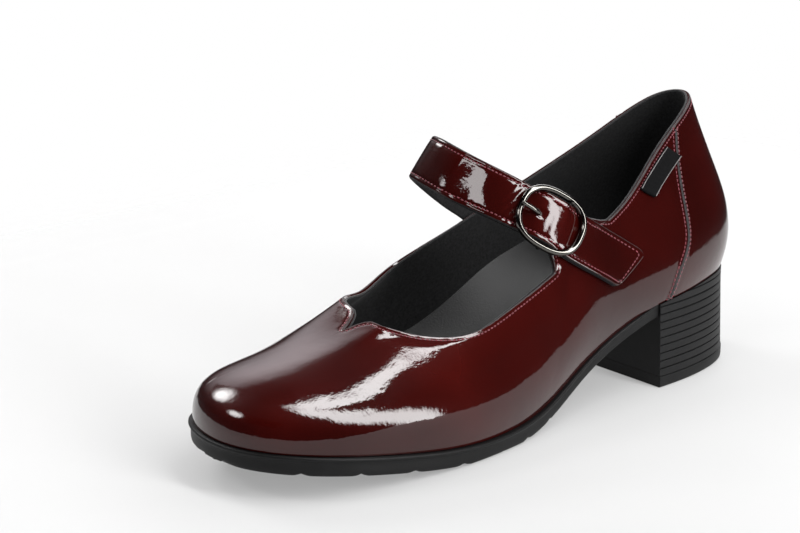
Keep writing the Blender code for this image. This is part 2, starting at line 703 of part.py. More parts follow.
def make_buckle():
    wire = BUCKLE_WIRE / 2.0
    angles = np.arange(44) * 2.0 * np.pi / 44
    power = 2.0 / BUCKLE_ROUNDNESS
    half_length, half_width = BUCKLE_HALF_LENGTH - wire, BUCKLE_HALF_WIDTH - wire
    ring = np.column_stack([
        half_length * np.sign(np.cos(angles)) * np.abs(np.cos(angles)) ** power,
        half_width * np.sign(np.sin(angles)) * np.abs(np.sin(angles)) ** power,
        np.zeros(len(angles))])
    centre, along, width, out = buckle_axes()
    points, faces = tube(from_buckle(ring), wire, out, sides=8, closed=True)
    frame = make_object("buckle_frame", points, faces, (0.1, 0.1, 0.11), 0.12, 1.0)
    bend = 0.8
    bar = [(0, half_width, 0.0), (0, half_width, -BAR_DEPTH + bend)]
    bar += [(0, half_width - bend * (1 - np.cos(a)), -BAR_DEPTH + bend * (1 - np.sin(a)))
            for a in np.radians((30, 60, 90))]
    bar += [(0, y, -BAR_DEPTH) for y in (5.0, 0.0)]
    bar += [(0, -y, z) for _, y, z in bar[:-1][::-1]]
    points, faces = tube(from_buckle(bar), BAR_WIRE / 2.0, along, sides=8)
    bar_piece = make_object("centre_bar", points, faces, (0.1, 0.1, 0.11), 0.12, 1.0)
    weld = frame.modifiers.new("weld", "BOOLEAN")
    weld.operation = "UNION"
    weld.solver = "EXACT"
    weld.object = bar_piece
    graph = bpy.context.evaluated_depsgraph_get()
    joined = bpy.data.meshes.new_from_object(frame.evaluated_get(graph))
    frame.modifiers.clear()
    frame.data = joined
    joined.name = "buckle_frame"
    bpy.data.objects.remove(bar_piece)
    return frame


def make_prong():
    reach = BAR_WIRE / 2.0 + GAP + PRONG_WIRE / 2.0
    rest = BUCKLE_HALF_LENGTH - BUCKLE_WIRE / 2.0
    top = BUCKLE_WIRE / 2.0 + GAP + PRONG_WIRE / 2.0
    path = [(reach * np.cos(a), 0, -BAR_DEPTH + reach * np.sin(a)) for a in np.radians((-95, -70, -45, -20))]
    path += [(2.6, 0, -2.7), (3.6, 0, -1.8), (4.8, 0, -0.5), (6.2, 0, 0.75), (8.0, 0, 1.6),
             (10.5, 0, top - 0.15), (rest, 0, top), (rest + 1.0, 0, top - 0.1)]
    radii = np.full(len(path), PRONG_WIRE / 2.0)
    radii[-1] = PRONG_WIRE / 3.0
    points, faces = tube(from_buckle(path), radii, buckle_axes()[2])
    return make_object("buckle_prong", points, faces, (0.1, 0.1, 0.11), 0.12, 1.0)


def make_tab():
    corners = np.array(TAB_CORNERS, float)
    long_way, short_way = 7, 3
    rings = []
    for out in (GAP, GAP + TAB_THICKNESS):
        for i in range(long_way):
            for j in range(short_way):
                u, v = i / (long_way - 1), j / (short_way - 1)
                section, height = ((1 - u) * (1 - v) * corners[0] + (1 - u) * v * corners[1]
                                   + u * v * corners[2] + u * (1 - v) * corners[3])
                rings.append(LAST_FORM.wall_depth(np.array([section]), np.array([height]),
                                                  np.array([-out]))[0])
    layer = long_way * short_way
    faces = []
    for i in range(long_way - 1):
        for j in range(short_way - 1):
            a = i * short_way + j
            faces.append((a, a + 1, a + 1 + short_way, a + short_way))
            faces.append(tuple(k + layer for k in faces[-1]))
    rim = ([i * short_way for i in range(long_way)]
           + [(long_way - 1) * short_way + j for j in range(1, short_way)]
           + [i * short_way + short_way - 1 for i in range(long_way - 2, -1, -1)]
           + [j for j in range(short_way - 2, 0, -1)])
    for a, b in zip(rim, rim[1:] + rim[:1]):
        faces.append((a, b, b + layer, a + layer))
    return make_object("side_tab", rings, faces, (0.02, 0.02, 0.022), 0.7)


for old in list(bpy.data.objects):
    bpy.data.objects.remove(old)
make_upper()
make_outsole()
make_heel()
make_insole()
make_strap()
make_buckle()
make_prong()
make_tab()
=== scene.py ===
"""Looks for a left Mary Jane pump: patent leather upper and strap, oval buckle, grooved block heel.

The tables are in millimetres, from the back of the heel along +X (toe), from the shoe's middle line
along +Y (outer side) and from the floor along +Z. Pieces are placed in metres in the frame's axes.
"""
import math

import bpy
import bmesh
import numpy as np
from mathutils import Matrix, Vector
from mathutils.bvhtree import BVHTree
from mathutils.kdtree import KDTree


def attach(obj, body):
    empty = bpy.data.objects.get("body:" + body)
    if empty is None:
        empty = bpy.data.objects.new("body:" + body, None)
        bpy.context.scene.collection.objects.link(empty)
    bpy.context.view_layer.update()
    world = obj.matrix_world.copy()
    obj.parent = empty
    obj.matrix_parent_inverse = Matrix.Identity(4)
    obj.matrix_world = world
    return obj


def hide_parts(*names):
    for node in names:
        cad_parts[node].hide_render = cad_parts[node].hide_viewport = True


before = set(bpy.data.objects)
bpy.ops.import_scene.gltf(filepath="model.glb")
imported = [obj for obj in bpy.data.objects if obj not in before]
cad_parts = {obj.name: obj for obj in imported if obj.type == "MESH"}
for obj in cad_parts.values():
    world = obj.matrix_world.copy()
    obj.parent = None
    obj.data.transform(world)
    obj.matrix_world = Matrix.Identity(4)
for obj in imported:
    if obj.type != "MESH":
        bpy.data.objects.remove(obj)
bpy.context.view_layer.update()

MM = 0.001
HEEL_CENTRE_X = 27.0        # from the heel's back to the frame's origin
GAP = 0.3
UPPER_WALL = 2.2            # leather and lining together
LEATHER = 1.15              # the leather's share of it
STRAP_WIDTH = 18.4
STRAP_THICKNESS = 2.4
BUCKLE_HALF_LENGTH = 14.3
BUCKLE_HALF_WIDTH = 12.1
BUCKLE_WIRE = 2.4
BUCKLE_ROUNDNESS = 2.5
BAR_WIRE = 2.0
PRONG_WIRE = 1.8
HEEL_BREAST_X = 56.0
HEEL_FLARE = 1.6
LIFT_THICKNESS = 4.5
INSOLE_THICKNESS = 3.5
SOLE_FOREPART = 7.2
SOLE_WAIST = 5.2
SOLE_THINNING = (80, 140)
GROOVE_PITCH = 3.15         # between the heel stack's grooves
GROOVE_DEPTH = 0.55
STITCH_INSET = 1.7          # topline stitches, from the leather's edge
STRAP_STITCH_INSET = 1.9    # the strap's stitches, from its edges
STITCH_PITCH = 1.6
CUT_EDGE_WIDTH = 0.42       # how far the leather's edge is rounded, and left unpolished

# The last, one row for each section around it: name, fx, fy, cx, cy, cz, rise, flare, run, lean.
# fx, fy: the feather line, where upper meets sole. cx, cy, cz: the top line. rise, flare: length of
# the rib's lower handle and its lean outwards. run, lean: length of its upper handle and its lean
# inwards. Angles are in degrees from the vertical.
LAST = (
    ("toe", 241.5, -19.5, 177, -1, 47, 25, 4, 42, 67),
    ("toe_outer_front", 244, 9, 176.5, 10, 46, 25, 6, 40, 66),
    ("toe_outer", 227, 29, 169, 17.5, 43.5, 21, 8, 37, 63),
    ("forepart_outer", 198.5, 37.5, 156, 27, 43, 21, 11, 31, 64),
    ("ball_outer", 163.5, 40.5, 136, 28.5, 48, 24, 14, 22, 51),
    ("waist_outer_front", 127, 36.5, 106.5, 27.5, 59, 23, 16, 18, 33),
    ("waist_outer", 92, 30.5, 85, 24.5, 68, 20, 18, 18, 24),
    ("heel_outer", 54, 31, 61, 19.5, 77.5, 21, 17.5, 21, 21),
    ("seat_outer", 26, 28.5, 38, 14, 93, 24, 17.5, 26, 20),
    ("seat_outer_back", 6.5, 19, 18, 8.5, 103.5, 26, 19, 31, 19),
    ("back", -0.5, -1.5, 10, -1.5, 107, 27, 18.5, 32, 19),
    ("seat_inner_back", 8, -22, 17.5, -13, 103.5, 27, 18, 29.5, 20),
    ("seat_inner", 29.5, -29.5, 37.5, -20, 92.5, 24, 16, 24.5, 21),
    ("heel_inner", 60, -28.5, 59, -26, 81, 21, 17, 20, 19),
    ("waist_inner", 95, -26, 85, -30, 70, 24, 22, 18, 15),
    ("waist_inner_front", 129.5, -33, 109.5, -32.5, 60.5, 23, 18, 18, 25),
    ("ball_inner", 170.5, -42.5, 142, -32.5, 50.5, 23, 11, 25, 45),
    ("forepart_inner", 200.5, -40.5, 160, -27, 47, 19, 8, 34, 59),
    ("toe_inner", 223.5, -34, 172, -21, 48.5, 16, 5, 39, 60),
    ("toe_inner_front", 235, -28, 175.5, -11.5, 48, 23, 3, 41, 63),
)
BACK = 10                   # number of the section at the back of the heel
SECTIONS = len(LAST)
FOOT_MIDDLE = (125.0, 0.0)  # inside every section, seen from above

# Height of the feather line above the floor, along the shoe: x and height
FEATHER = (
    (-5, 38), (20, 38), (45, 35.5), (62, 33), (80, 27), (100, 18.5),
    (120, 10.5), (145, 7), (175, 8.5), (205, 13), (228, 16.5), (250, 18.5),
)

# The notch in the middle of the throat: section number and how far the edge dips below the top line
NOTCH = (
    (-1.0, 0.0), (-0.74, 1.2), (-0.54, 3.4), (-0.3, 6.8), (-0.11, 10.2),
    (-0.04, 7.0), (0.0, 4.5), (0.05, 1.8), (0.14, 0.3), (0.3, 0.0),
)
# The ear, which carries the buckle: section numbers where it leaves the top line
EAR_FRONT = (4.84, 4.98)
EAR_REAR = (5.9, 6.35)
EAR_HALF_WIDTH = 7.5        # at the buckle's centre bar

# Height of the insole's edge on the wall above the feather line: section number and height
INSOLE_EDGE = (
    (0, 4.5), (4, 4.5), (7, 6), (9, 8), (11, 8), (12, 11), (13, 17), (14, 22),
    (14.7, 19), (15.5, 10), (16.5, 5), (20, 4.5),
)

# Centre line of the strap, from the free end over the instep to the inner quarter: name, x, y, z,
# pitch, turn. pitch is the slope of its width, downwards to the toe; turn swings the width outwards.
# Both are in degrees.
STRAP_PATH = (
    ("free_end", 74.7, 33.5, 52, 54, 6),
    ("outer_quarter", 84, 30.8, 58.3, 52, 12),
    ("buckle_rear", 99.3, 26.8, 68, 48.9, 14.2),
    ("buckle_bar", 108.55, 20.6, 74.65, 48.9, 14.2),
    ("buckle_front", 117.9, 14.6, 81.3, 48.9, 14.2),
    ("crown", 130, -8.2, 91.2, 57, -10),
    ("inner_shoulder", 126.2, -28, 92.7, 54, -12),
    ("inner_slope", 107.1, -36, 79.2, 51, 0),
    ("inner_quarter", 88, -36.3, 63.2, 46, -3),
    ("sewn_end", 80.5, -36, 53.5, 44, -3),
)
FREE_END_SLANT = 5.0        # the cut end runs this far ahead on one edge and behind on the other
FREE_END_SLANT_REACH = 22.0

# The buckle's middle, and its directions: along points up the instep, width points to the toe
BUCKLE_CENTRE = (109.5, 23.5, 76.05)
BUCKLE_ALONG = (0.72, -0.47, 0.51)
BUCKLE_WIDTH = (0.638, 0.161, -0.753)
DOME_HEIGHT = 2.9           # the strap rises over the centre bar by this
DOME_REACH_FRONT = 9.0      # towards the free end
DOME_REACH_BACK = 8.5
BAR_DEPTH = 3.0             # the centre bar hangs this far below the ring

# Corners of the small tab sewn beside the collar: section number and height on the rib
TAB_CORNERS = ((8.0, 0.97), (8.23, 0.86), (7.38, 0.838), (7.15, 0.975))


def cubic_spline_second(knots, values, period=None):
    """Second derivatives of the cubic spline through the values, natural or periodic."""
    values = np.asarray(values, float)
    count = len(values)
    steps = np.diff(knots if period is None else np.append(knots, knots[0] + period))
    matrix = np.zeros((count, count))
    right = np.zeros(values.shape)
    for i in range(count):
        if period is None and i in (0, count - 1):
            matrix[i, i] = 1.0
            continue
        before, after = steps[i - 1], steps[i]
        following = (i + 1) % count
        matrix[i, i - 1] += before
        matrix[i, i] += 2.0 * (before + after)
        matrix[i, following] += after
        right[i] = 6.0 * ((values[following] - values[i]) / after
                          - (values[i] - values[i - 1]) / before)
    return np.linalg.solve(matrix, right)


class Spline:
    """A cubic curve through the rows of a table."""

    def __init__(self, knots, values, period=None):
        self.knots = np.asarray(knots, float)
        self.values = np.asarray(values, float)
        self.period = period
        self.second = cubic_spline_second(self.knots, self.values, period)

    def __call__(self, place):
        place = np.asarray(place, float)
        count = len(self.knots)
        if self.period is None:
            ends = self.knots
            index = np.clip(np.searchsorted(ends, place, side="right") - 1, 0, count - 2)
            following = index + 1
        else:
            place = np.mod(place, self.period)
            ends = np.append(self.knots, self.period)
            index = np.searchsorted(ends, place, side="right") - 1
            following = (index + 1) % count
        step = ends[index + 1] - ends[index]
        a = (ends[index + 1] - place) / step
        b = (place - ends[index]) / step
        if self.values.ndim == 2:
            a, b, step = a[..., None], b[..., None], step[..., None]
        return (a * self.values[index] + b * self.values[following]
                + ((a ** 3 - a) * self.second[index] + (b ** 3 - b) * self.second[following])
                * step ** 2 / 6.0)


def path_lengths(points):
    """Distance along a path to each of its points."""
    return np.concatenate([[0.0], np.cumsum(np.linalg.norm(np.diff(points, axis=0), axis=1))])


def unit(vectors):
    """The vectors at a length of one."""
    length = np.linalg.norm(vectors, axis=-1, keepdims=True)
    return vectors / np.maximum(length, 1e-9)


def smooth_step(value, low, high):
    """Rises smoothly from 0 at low to 1 at high; high may be the smaller one."""
    t = np.clip((np.asarray(value, float) - low) / (high - low), 0.0, 1.0)
    return t * t * (3.0 - 2.0 * t)


def point_tree(points):
    """A tree that finds which of some points is nearest to a place."""
    tree = KDTree(len(points))
    for i, point in enumerate(points):
        tree.insert(Vector(point), i)
    tree.balance()
    return tree


class Last:
    """The shoe's form: ribs that climb from the feather line to the top line."""

    def __init__(self):
        rows = np.array([row[1:] for row in LAST], float)
        feet = rows[:, :2]
        chords = np.linalg.norm(np.roll(feet, -1, 0) - feet, axis=1)
        self.knots = np.concatenate([[0.0], np.cumsum(chords)])
        self.girth = self.knots[-1]
        self.rows = Spline(self.knots[:-1], rows, self.girth)
        feather = np.array(FEATHER, float)
        self.feather_height = Spline(feather[:, 0], feather[:, 1])

    def along(self, section):
        """Distance round the feather line at a section number, which may be fractional."""
        section = np.asarray(section, float)
        turns = np.floor(section / SECTIONS)
        inside = section - turns * SECTIONS
        return np.interp(inside, np.arange(SECTIONS + 1), self.knots) + turns * self.girth

    def ribs(self, section):
        """Foot, lower handle, upper handle and top of the rib at each section number."""
        place = self.along(section)
        row = self.rows(place)
        ahead, behind = self.rows(place + 1.0), self.rows(place - 1.0)
        foot = np.column_stack([row[:, :2], self.feather_height(row[:, 0])])
        top = row[:, 2:5]

        def outward(step, at):
            normal = unit(np.column_stack([-step[:, 1], step[:, 0]]))
            side = np.sign(((at - FOOT_MIDDLE) * normal).sum(1))
            return normal * side[:, None]

        foot_out = outward(ahead[:, :2] - behind[:, :2], foot[:, :2])
        top_out = outward(ahead[:, 2:4] - behind[:, 2:4], foot[:, :2])
        spread = foot[:, :2] - top[:, :2]
        share = np.clip((np.linalg.norm(spread, axis=1) - 5.0) / 15.0, 0.0, 1.0)[:, None]
        top_out = unit(share * unit(spread) + (1.0 - share) * top_out)
        flare, lean = np.radians(row[:, 6]), np.radians(row[:, 8])
        low = foot + row[:, 5:6] * np.column_stack([foot_out * np.sin(flare)[:, None], np.cos(flare)])
        high = top + row[:, 7:8] * np.column_stack([top_out * np.sin(lean)[:, None], -np.cos(lean)])
        return foot, low, high, top

    def surface(self, section, height):
        """Points of the outer surface. height is 0 at the feather line and 1 at the top line,
        and past 1 the rib goes straight on."""
        section, height = np.broadcast_arrays(np.asarray(section, float), np.asarray(height, float))
        foot, low, high, top = self.ribs(section.ravel())
        t = np.minimum(height.ravel(), 1.0)[:, None]
        past = np.maximum(height.ravel() - 1.0, 0.0)[:, None]
        points = ((1 - t) ** 3 * foot + 3 * (1 - t) ** 2 * t * low
                  + 3 * (1 - t) * t ** 2 * high + t ** 3 * top + past * 3.0 * (top - high))
        return points.reshape(section.shape + (3,))

    def normal(self, section, height):
        """Outward normals of the surface."""
        section, height = np.broadcast_arrays(np.asarray(section, float), np.asarray(height, float))
        height = np.clip(height, 0.0, 0.999)
        step = 0.02
        round_it = self.surface(section + step, height) - self.surface(section - step, height)
        up_it = (self.surface(section, height + step)
                 - self.surface(section, np.maximum(height - step, 0.0)))
        return unit(np.cross(round_it, up_it))

    def wall_depth(self, section, height, depth):
        """Points inside the outer surface by depth."""
        depth = np.asarray(depth, float)
        return self.surface(section, height) - self.normal(section, height) * depth[..., None]

    def height_share(self, section, rise):
        """The height value at which a rib has climbed to rise above its foot."""
        foot = self.ribs(np.atleast_1d(section))[0]
        low, high = np.zeros(len(foot)), np.full(len(foot), 0.9)
        for _ in range(30):
            middle = (low + high) / 2.0
            climbed = self.surface(section, middle)[:, 2] - foot[:, 2]
            low = np.where(climbed < rise, middle, low)
            high = np.where(climbed < rise, high, middle)
        return (low + high) / 2.0

    def wall_across(self, x, z, start, end):
        """Y of the outer surface, and the height value there, at places given by x and z."""
        sections = np.linspace(start, end, 60)
        heights = np.linspace(0.0, 1.6, 60)
        grid = self.surface(sections[:, None], heights[None, :]).reshape(-1, 3)
        tree = point_tree(grid * [1.0, 0.0, 1.0])
        nearest = np.array([tree.find((a, 0.0, b))[1] for a, b in zip(x, z)], int)
        section = sections[nearest // len(heights)]
        height = heights[nearest % len(heights)]
        step = 0.01
        for _ in range(8):
            here = self.surface(section, height)
            by_section = (self.surface(section + step, height) - here) / step
            by_height = (self.surface(section, height + step) - here) / step
            dx, dz = x - here[:, 0], z - here[:, 2]
            det = by_section[:, 0] * by_height[:, 2] - by_height[:, 0] * by_section[:, 2]
            section = section + (dx * by_height[:, 2] - dz * by_height[:, 0]) / det
            height = np.clip(height + (dz * by_section[:, 0] - dx * by_section[:, 2]) / det, 0.0, 3.0)
            section = np.clip(section, start, end)
        return self.surface(section, height)[:, 1], height


LAST_FORM = Last()


STRAP_TABLE = np.array([row[1:] for row in STRAP_PATH], float)
STRAP_KNOTS = path_lengths(STRAP_TABLE[:, :3])
STRAP_LINE = Spline(STRAP_KNOTS, STRAP_TABLE)
STRAP_LENGTH = STRAP_KNOTS[-1]
BAR_PLACE = STRAP_KNOTS[3]


def strap_frame(place):
    """Centre, run, width (to the toe) and outward normal at each distance along the strap."""
    row = STRAP_LINE(place)
    run = unit(STRAP_LINE(place + 0.5)[:, :3] - STRAP_LINE(place - 0.5)[:, :3])
    pitch, turn = np.radians(row[:, 3]), np.radians(row[:, 4])
    width = np.column_stack([np.cos(pitch) * np.cos(turn), np.cos(pitch) * np.sin(turn), -np.sin(pitch)])
    width = unit(width - run * (width * run).sum(1, keepdims=True))
    normal = np.cross(run, width)
    offset = place - BAR_PLACE
    reach = np.where(offset < 0.0, DOME_REACH_FRONT, DOME_REACH_BACK)
    dome = DOME_HEIGHT * np.exp(-(np.abs(offset) / reach) ** 3)
    return row[:, :3] + normal * dome[:, None], run, width, normal


def strap_points(place, across, out):
    """Points of the strap: place along it, across its width, out from its middle thickness.

    Over the quarters the strap is pressed onto the upper, with the usual gap.
    """
    place, across, out = (np.ravel(v).astype(float) for v in np.broadcast_arrays(place, across, out))
    centre, _, width, normal = strap_frame(place)
    points = centre + width * across[:, None] + normal * out[:, None]
    under = centre + width * across[:, None] - normal * (STRAP_THICKNESS / 2.0)
    # for each side, which of the points lie over it, and the sections between which its wall is found
    for side, near, start, end in ((1.0, place < BAR_PLACE - 3.0, 4.2, 8.2),
                                   (-1.0, place > STRAP_LENGTH - 45.0, 12.2, 16.4)):
        index = np.flatnonzero(near)
        wall, height = LAST_FORM.wall_across(under[index, 0], under[index, 2], start, end)
        needed = (wall + side * (GAP + 0.1) - under[index, 1]) * side
        hold = 1.0 - smooth_step(height, 1.0, 1.15)
        points[index, 1] += side * needed * hold
    return points


def ear_weight(sections):
    """1 where the top edge runs on into the ear, 0 where it stays at the top line."""
    return smooth_step(sections, *EAR_FRONT) * (1.0 - smooth_step(sections, *EAR_REAR))


def ear_points(sections, root, share):
    """Outer and inner face of the ear, which leaves the top line and lies against the strap's underside."""
    places = np.linspace(STRAP_KNOTS[1] - 8.0, BAR_PLACE, 120)
    centre, run, width, _ = strap_frame(places)
    under = -STRAP_THICKNESS / 2.0 - 2.0 * GAP - 0.2
    points = np.array(root)
    inward = LAST_FORM.normal(sections, np.ones(len(sections)))
    weight = ear_weight(sections)
    ear = np.flatnonzero(weight > 0.0)
    weight, root, section = weight[ear][:, None], root[ear], sections[ear]
    ahead = ((root[:, None] - centre[None]) * run[None]).sum(2)
    nearest = np.argmin(np.abs(ahead), axis=1)
    start = places[nearest]
    start_across = ((root - centre[nearest]) * width[nearest]).sum(1)
    end = BAR_PLACE - BAR_WIRE / 2.0 - GAP
    end_across = EAR_HALF_WIDTH * (1.0 - 2.0 * (section - EAR_FRONT[1]) / (EAR_REAR[0] - EAR_FRONT[1]))
    end_across = np.clip(end_across, -EAR_HALF_WIDTH - 1.0, EAR_HALF_WIDTH)
    foot = strap_points(start, start_across, under)
    along = start + (end - start) * share
    here = strap_points(along, start_across + (end_across - start_across) * share, under)
    target = here + (root - foot) * (1.0 - share) ** 2
    points[ear] = root + weight * (target - root)
    strap_out = strap_frame(along)[3]
    inward[ear] = unit((1.0 - weight * share) * inward[ear] + weight * share * strap_out)
    return points, points - inward * UPPER_WALL


# Meshes

def place(points):
    """Points in millimetres from the heel's back, as metres in the frame's axes."""
    return (np.asarray(points, float) - [HEEL_CENTRE_X, 0.0, 0.0]) * MM


def make_piece(name, points, faces, material, smooth_angle, weld=True):
    """A mesh piece that rides on the shoe. Edges sharper than smooth_angle stay hard."""
    mesh = bpy.data.meshes.new(name)
    mesh.from_pydata(place(points).tolist(), [], [tuple(int(i) for i in face) for face in faces])
    form = bmesh.new()
    form.from_mesh(mesh)
    if weld:
        bmesh.ops.remove_doubles(form, verts=form.verts, dist=0.000002)
    bmesh.ops.recalc_face_normals(form, faces=form.faces)
    form.to_mesh(mesh)
    form.free()
    mesh.shade_smooth()
    if smooth_angle is not None:
        mesh.set_sharp_from_angle(angle=math.radians(smooth_angle))
    obj = bpy.data.objects.new(name, mesh)
    bpy.context.scene.collection.objects.link(obj)
    mesh.materials.append(material)
    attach(obj, "root")
    return obj


def grid_faces(rows, columns, wrap_rows=False, wrap_columns=False):
    """Quads of a grid whose points are numbered row by row."""
    index = np.arange(rows * columns).reshape(rows, columns)
    if wrap_columns:
        index = np.concatenate([index, index[:, :1]], 1)
    if wrap_rows:
        index = np.concatenate([index, index[:1]], 0)
    corners = (index[:-1, :-1], index[:-1, 1:], index[1:, 1:], index[1:, :-1])
    return np.stack(corners, -1).reshape(-1, 4).tolist()


def shell(layers):
    """Points and faces of closed rings stacked into a torus-like shell: the last ring meets the first."""
    layers = np.asarray(layers)
    rows, columns = layers.shape[:2]
    return layers.reshape(-1, 3), grid_faces(rows, columns, wrap_rows=True, wrap_columns=True)


def noise(points, scale, seed):
    """Smooth noise between -1 and 1 with features of about the given scale in millimetres."""
    size = 32
    values = np.random.default_rng(seed).uniform(-1.0, 1.0, (size, size, size))
    spot = np.asarray(points, float) / scale
    low = np.floor(spot).astype(int)
    part = spot - low
    part = part * part * (3.0 - 2.0 * part)
    result = 0.0
    for dx in (0, 1):
        for dy in (0, 1):
            for dz in (0, 1):
                weight = (np.where(dx, part[..., 0], 1 - part[..., 0])
                          * np.where(dy, part[..., 1], 1 - part[..., 1])
                          * np.where(dz, part[..., 2], 1 - part[..., 2]))
                result = result + weight * values[(low[..., 0] + dx) % size, (low[..., 1] + dy) % size,
                                                  (low[..., 2] + dz) % size]
    return result


def resample(path, step, closed=False):
    """Points at equal steps along a path, near to the given step."""
    path = np.asarray(path, float)
    if closed:
        path = np.concatenate([path, path[:1]])
    distance = path_lengths(path)
    count = max(2, int(round(distance[-1] / step)))
    places = np.linspace(0.0, distance[-1], count + 1)
    if closed:
        places = places[:-1]
    return np.column_stack([np.interp(places, distance, path[:, k]) for k in range(path.shape[1])])


def path_run(path, closed=False):
    """Direction of the path at each of its points."""
    if closed:
        return unit(np.roll(path, -1, 0) - np.roll(path, 1, 0))
    return unit(np.gradient(path, axis=0))


def stitch_mesh(paths, length, radius):
    """Points and faces of thread stitches, which dive at both ends.

    Each path is (points, outward normals, closed), with one stitch at each point.
    """
    sides, rings = 6, (-1.0, -0.8, -0.4, 0.0, 0.4, 0.8, 1.0)
    girth = np.array([0.25, 0.75, 1.0, 1.0, 1.0, 0.75, 0.25])
    dive = np.array([-0.75, -0.35, 0.05, 0.15, 0.05, -0.35, -0.75])
    points, faces = [], []
    for path, normals, closed in paths:
        for centre, ahead, out in zip(path, path_run(path, closed), normals):
            side = unit(np.cross(out, ahead))
            start = len(points)
            for k, along in enumerate(rings):
                middle = centre + ahead * along * length / 2.0 + out * (dive[k] * radius)
                for a in np.arange(sides) * 2.0 * np.pi / sides:
                    points.append(middle + girth[k] * radius * (math.cos(a) * side + math.sin(a) * out * 0.8))
            for k in range(len(rings) - 1):
                for i in range(sides):
                    j = (i + 1) % sides
                    a = start + k * sides
                    faces.append((a + i, a + j, a + sides + j, a + sides + i))
            faces.append(tuple(start + i for i in range(sides))[::-1])
            faces.append(tuple(start + (len(rings) - 1) * sides + i for i in range(sides)))
    return np.array(points), faces


def tube(path, radius, reference, sides, closed=False, flat=1.0):
    """Points and faces of a round or oval wire. flat scales its size along the reference."""
    path = np.asarray(path, float)
    run = path_run(path, closed)
    side = unit(np.cross(run, reference))
    other = np.cross(side, run)
    radius = np.broadcast_to(radius, len(path))
    angles = np.arange(sides) * 2.0 * np.pi / sides
    points = (path[:, None] + radius[:, None, None] * (np.cos(angles)[None, :, None] * side[:, None]
              + flat * np.sin(angles)[None, :, None] * other[:, None])).reshape(-1, 3)
    faces = grid_faces(len(path), sides, wrap_rows=closed, wrap_columns=True)
    if not closed:
        faces.append(tuple(range(sides))[::-1])
        faces.append(tuple(range(sides * (len(path) - 1), sides * len(path))))
    return points, faces


# Materials

def material_nodes(name, colour, roughness, metallic=0.0):
    """A Principled material, its node tree and its shader."""
    material = bpy.data.materials.new(name)
    material.use_nodes = True
    tree = material.node_tree
    shader = tree.nodes["Principled BSDF"]
    shader.inputs["Base Color"].default_value = (*colour, 1.0)
    shader.inputs["Roughness"].default_value = roughness
    shader.inputs["Metallic"].default_value = metallic
    material.diffuse_color = (*colour, 1.0)
    return material, tree, shader


def object_coordinates(tree):
    """Places in the shoe's own axes, in metres."""
    return tree.nodes.new("ShaderNodeTexCoord").outputs["Object"]


def noise_texture(tree, vector, size_mm, detail=2.0, rough=0.5):
    """Noise with features of about size_mm."""
    texture = tree.nodes.new("ShaderNodeTexNoise")
    texture.inputs["Scale"].default_value = 1.0 / (size_mm * MM)
    texture.inputs["Detail"].default_value = detail
    texture.inputs["Roughness"].default_value = rough
    tree.links.new(vector, texture.inputs["Vector"])
    return texture.outputs["Fac"]


def colour_ramp(tree, value, stops):
    """Colours given as (value, colour), blended from one to the next."""
    ramp = tree.nodes.new("ShaderNodeValToRGB")
    elements = ramp.color_ramp.elements
    while len(elements) < len(stops):
        elements.new(0.5)
    for element, (place_on_ramp, colour) in zip(elements, stops):
        element.position = place_on_ramp
        element.color = (*colour, 1.0)
    tree.links.new(value, ramp.inputs["Fac"])
    return ramp.outputs["Color"]


def add_bump(tree, shader, heights, inputs=("Normal",)):
    """Bumps stacked one on another. heights lists (height output, strength, depth in millimetres)."""
    normal = None
    for height, strength, depth_mm in heights:
        bump = tree.nodes.new("ShaderNodeBump")
        bump.inputs["Strength"].default_value = strength
        bump.inputs["Distance"].default_value = depth_mm * MM
        tree.links.new(height, bump.inputs["Height"])
        if normal is not None:
            tree.links.new(normal, bump.inputs["Normal"])
        normal = bump.outputs["Normal"]
    for name in inputs:
        tree.links.new(normal, shader.inputs[name])


def patent_leather():
    """Oxblood leather under a clear glossy coat."""
    material, tree, shader = material_nodes("patent_leather", (0.06, 0.004, 0.005), 0.42)
    vector = object_coordinates(tree)
    cloud = noise_texture(tree, vector, 42.0, 2.0, 0.45)
    colour = colour_ramp(tree, cloud, ((0.32, (0.0150, 0.0010, 0.0007)), (0.5, (0.0225, 0.0013, 0.0009)),
                                       (0.68, (0.0320, 0.0019, 0.0013))))
    tree.links.new(colour, shader.inputs["Base Color"])
    shader.inputs["Coat Weight"].default_value = 1.0
    shader.inputs["Coat Roughness"].default_value = 0.055
    shader.inputs["Coat IOR"].default_value = 1.5
    shader.inputs["Specular IOR Level"].default_value = 0.07
    shader.inputs["Specular Tint"].default_value = (1.0, 0.05, 0.035, 1.0)
    add_bump(tree, shader, ((noise_texture(tree, vector, 7.0, 1.0), 1.0, 0.07),
                            (noise_texture(tree, vector, 2.2, 2.0), 1.0, 0.032),
                            (noise_texture(tree, vector, 0.8, 1.0), 1.0, 0.012)),
             ("Normal", "Coat Normal"))
    return material


def shades(colour, dark, bright):
    """A darker and a brighter tone of a colour."""
    return tuple(c * dark for c in colour), tuple(c * bright for c in colour)


def grained(name, colour, roughness, tones, drift, grain, settings):
    """A material that drifts between two tones, with a fine grain.

    drift is the (size in millimetres, detail, roughness) of the tones' noise. grain is the same of the
    bumps', then their strength and depth in millimetres. settings are the shader's other inputs.
    """
    material, tree, shader = material_nodes(name, colour, roughness)
    vector = object_coordinates(tree)
    for key, value in settings.items():
        shader.inputs[key].default_value = value
    tone = colour_ramp(tree, noise_texture(tree, vector, *drift), ((0.3, tones[0]), (0.7, tones[1])))
    tree.links.new(tone, shader.inputs["Base Color"])
    add_bump(tree, shader, ((noise_texture(tree, vector, *grain[:3]), *grain[3:]),))
    return material


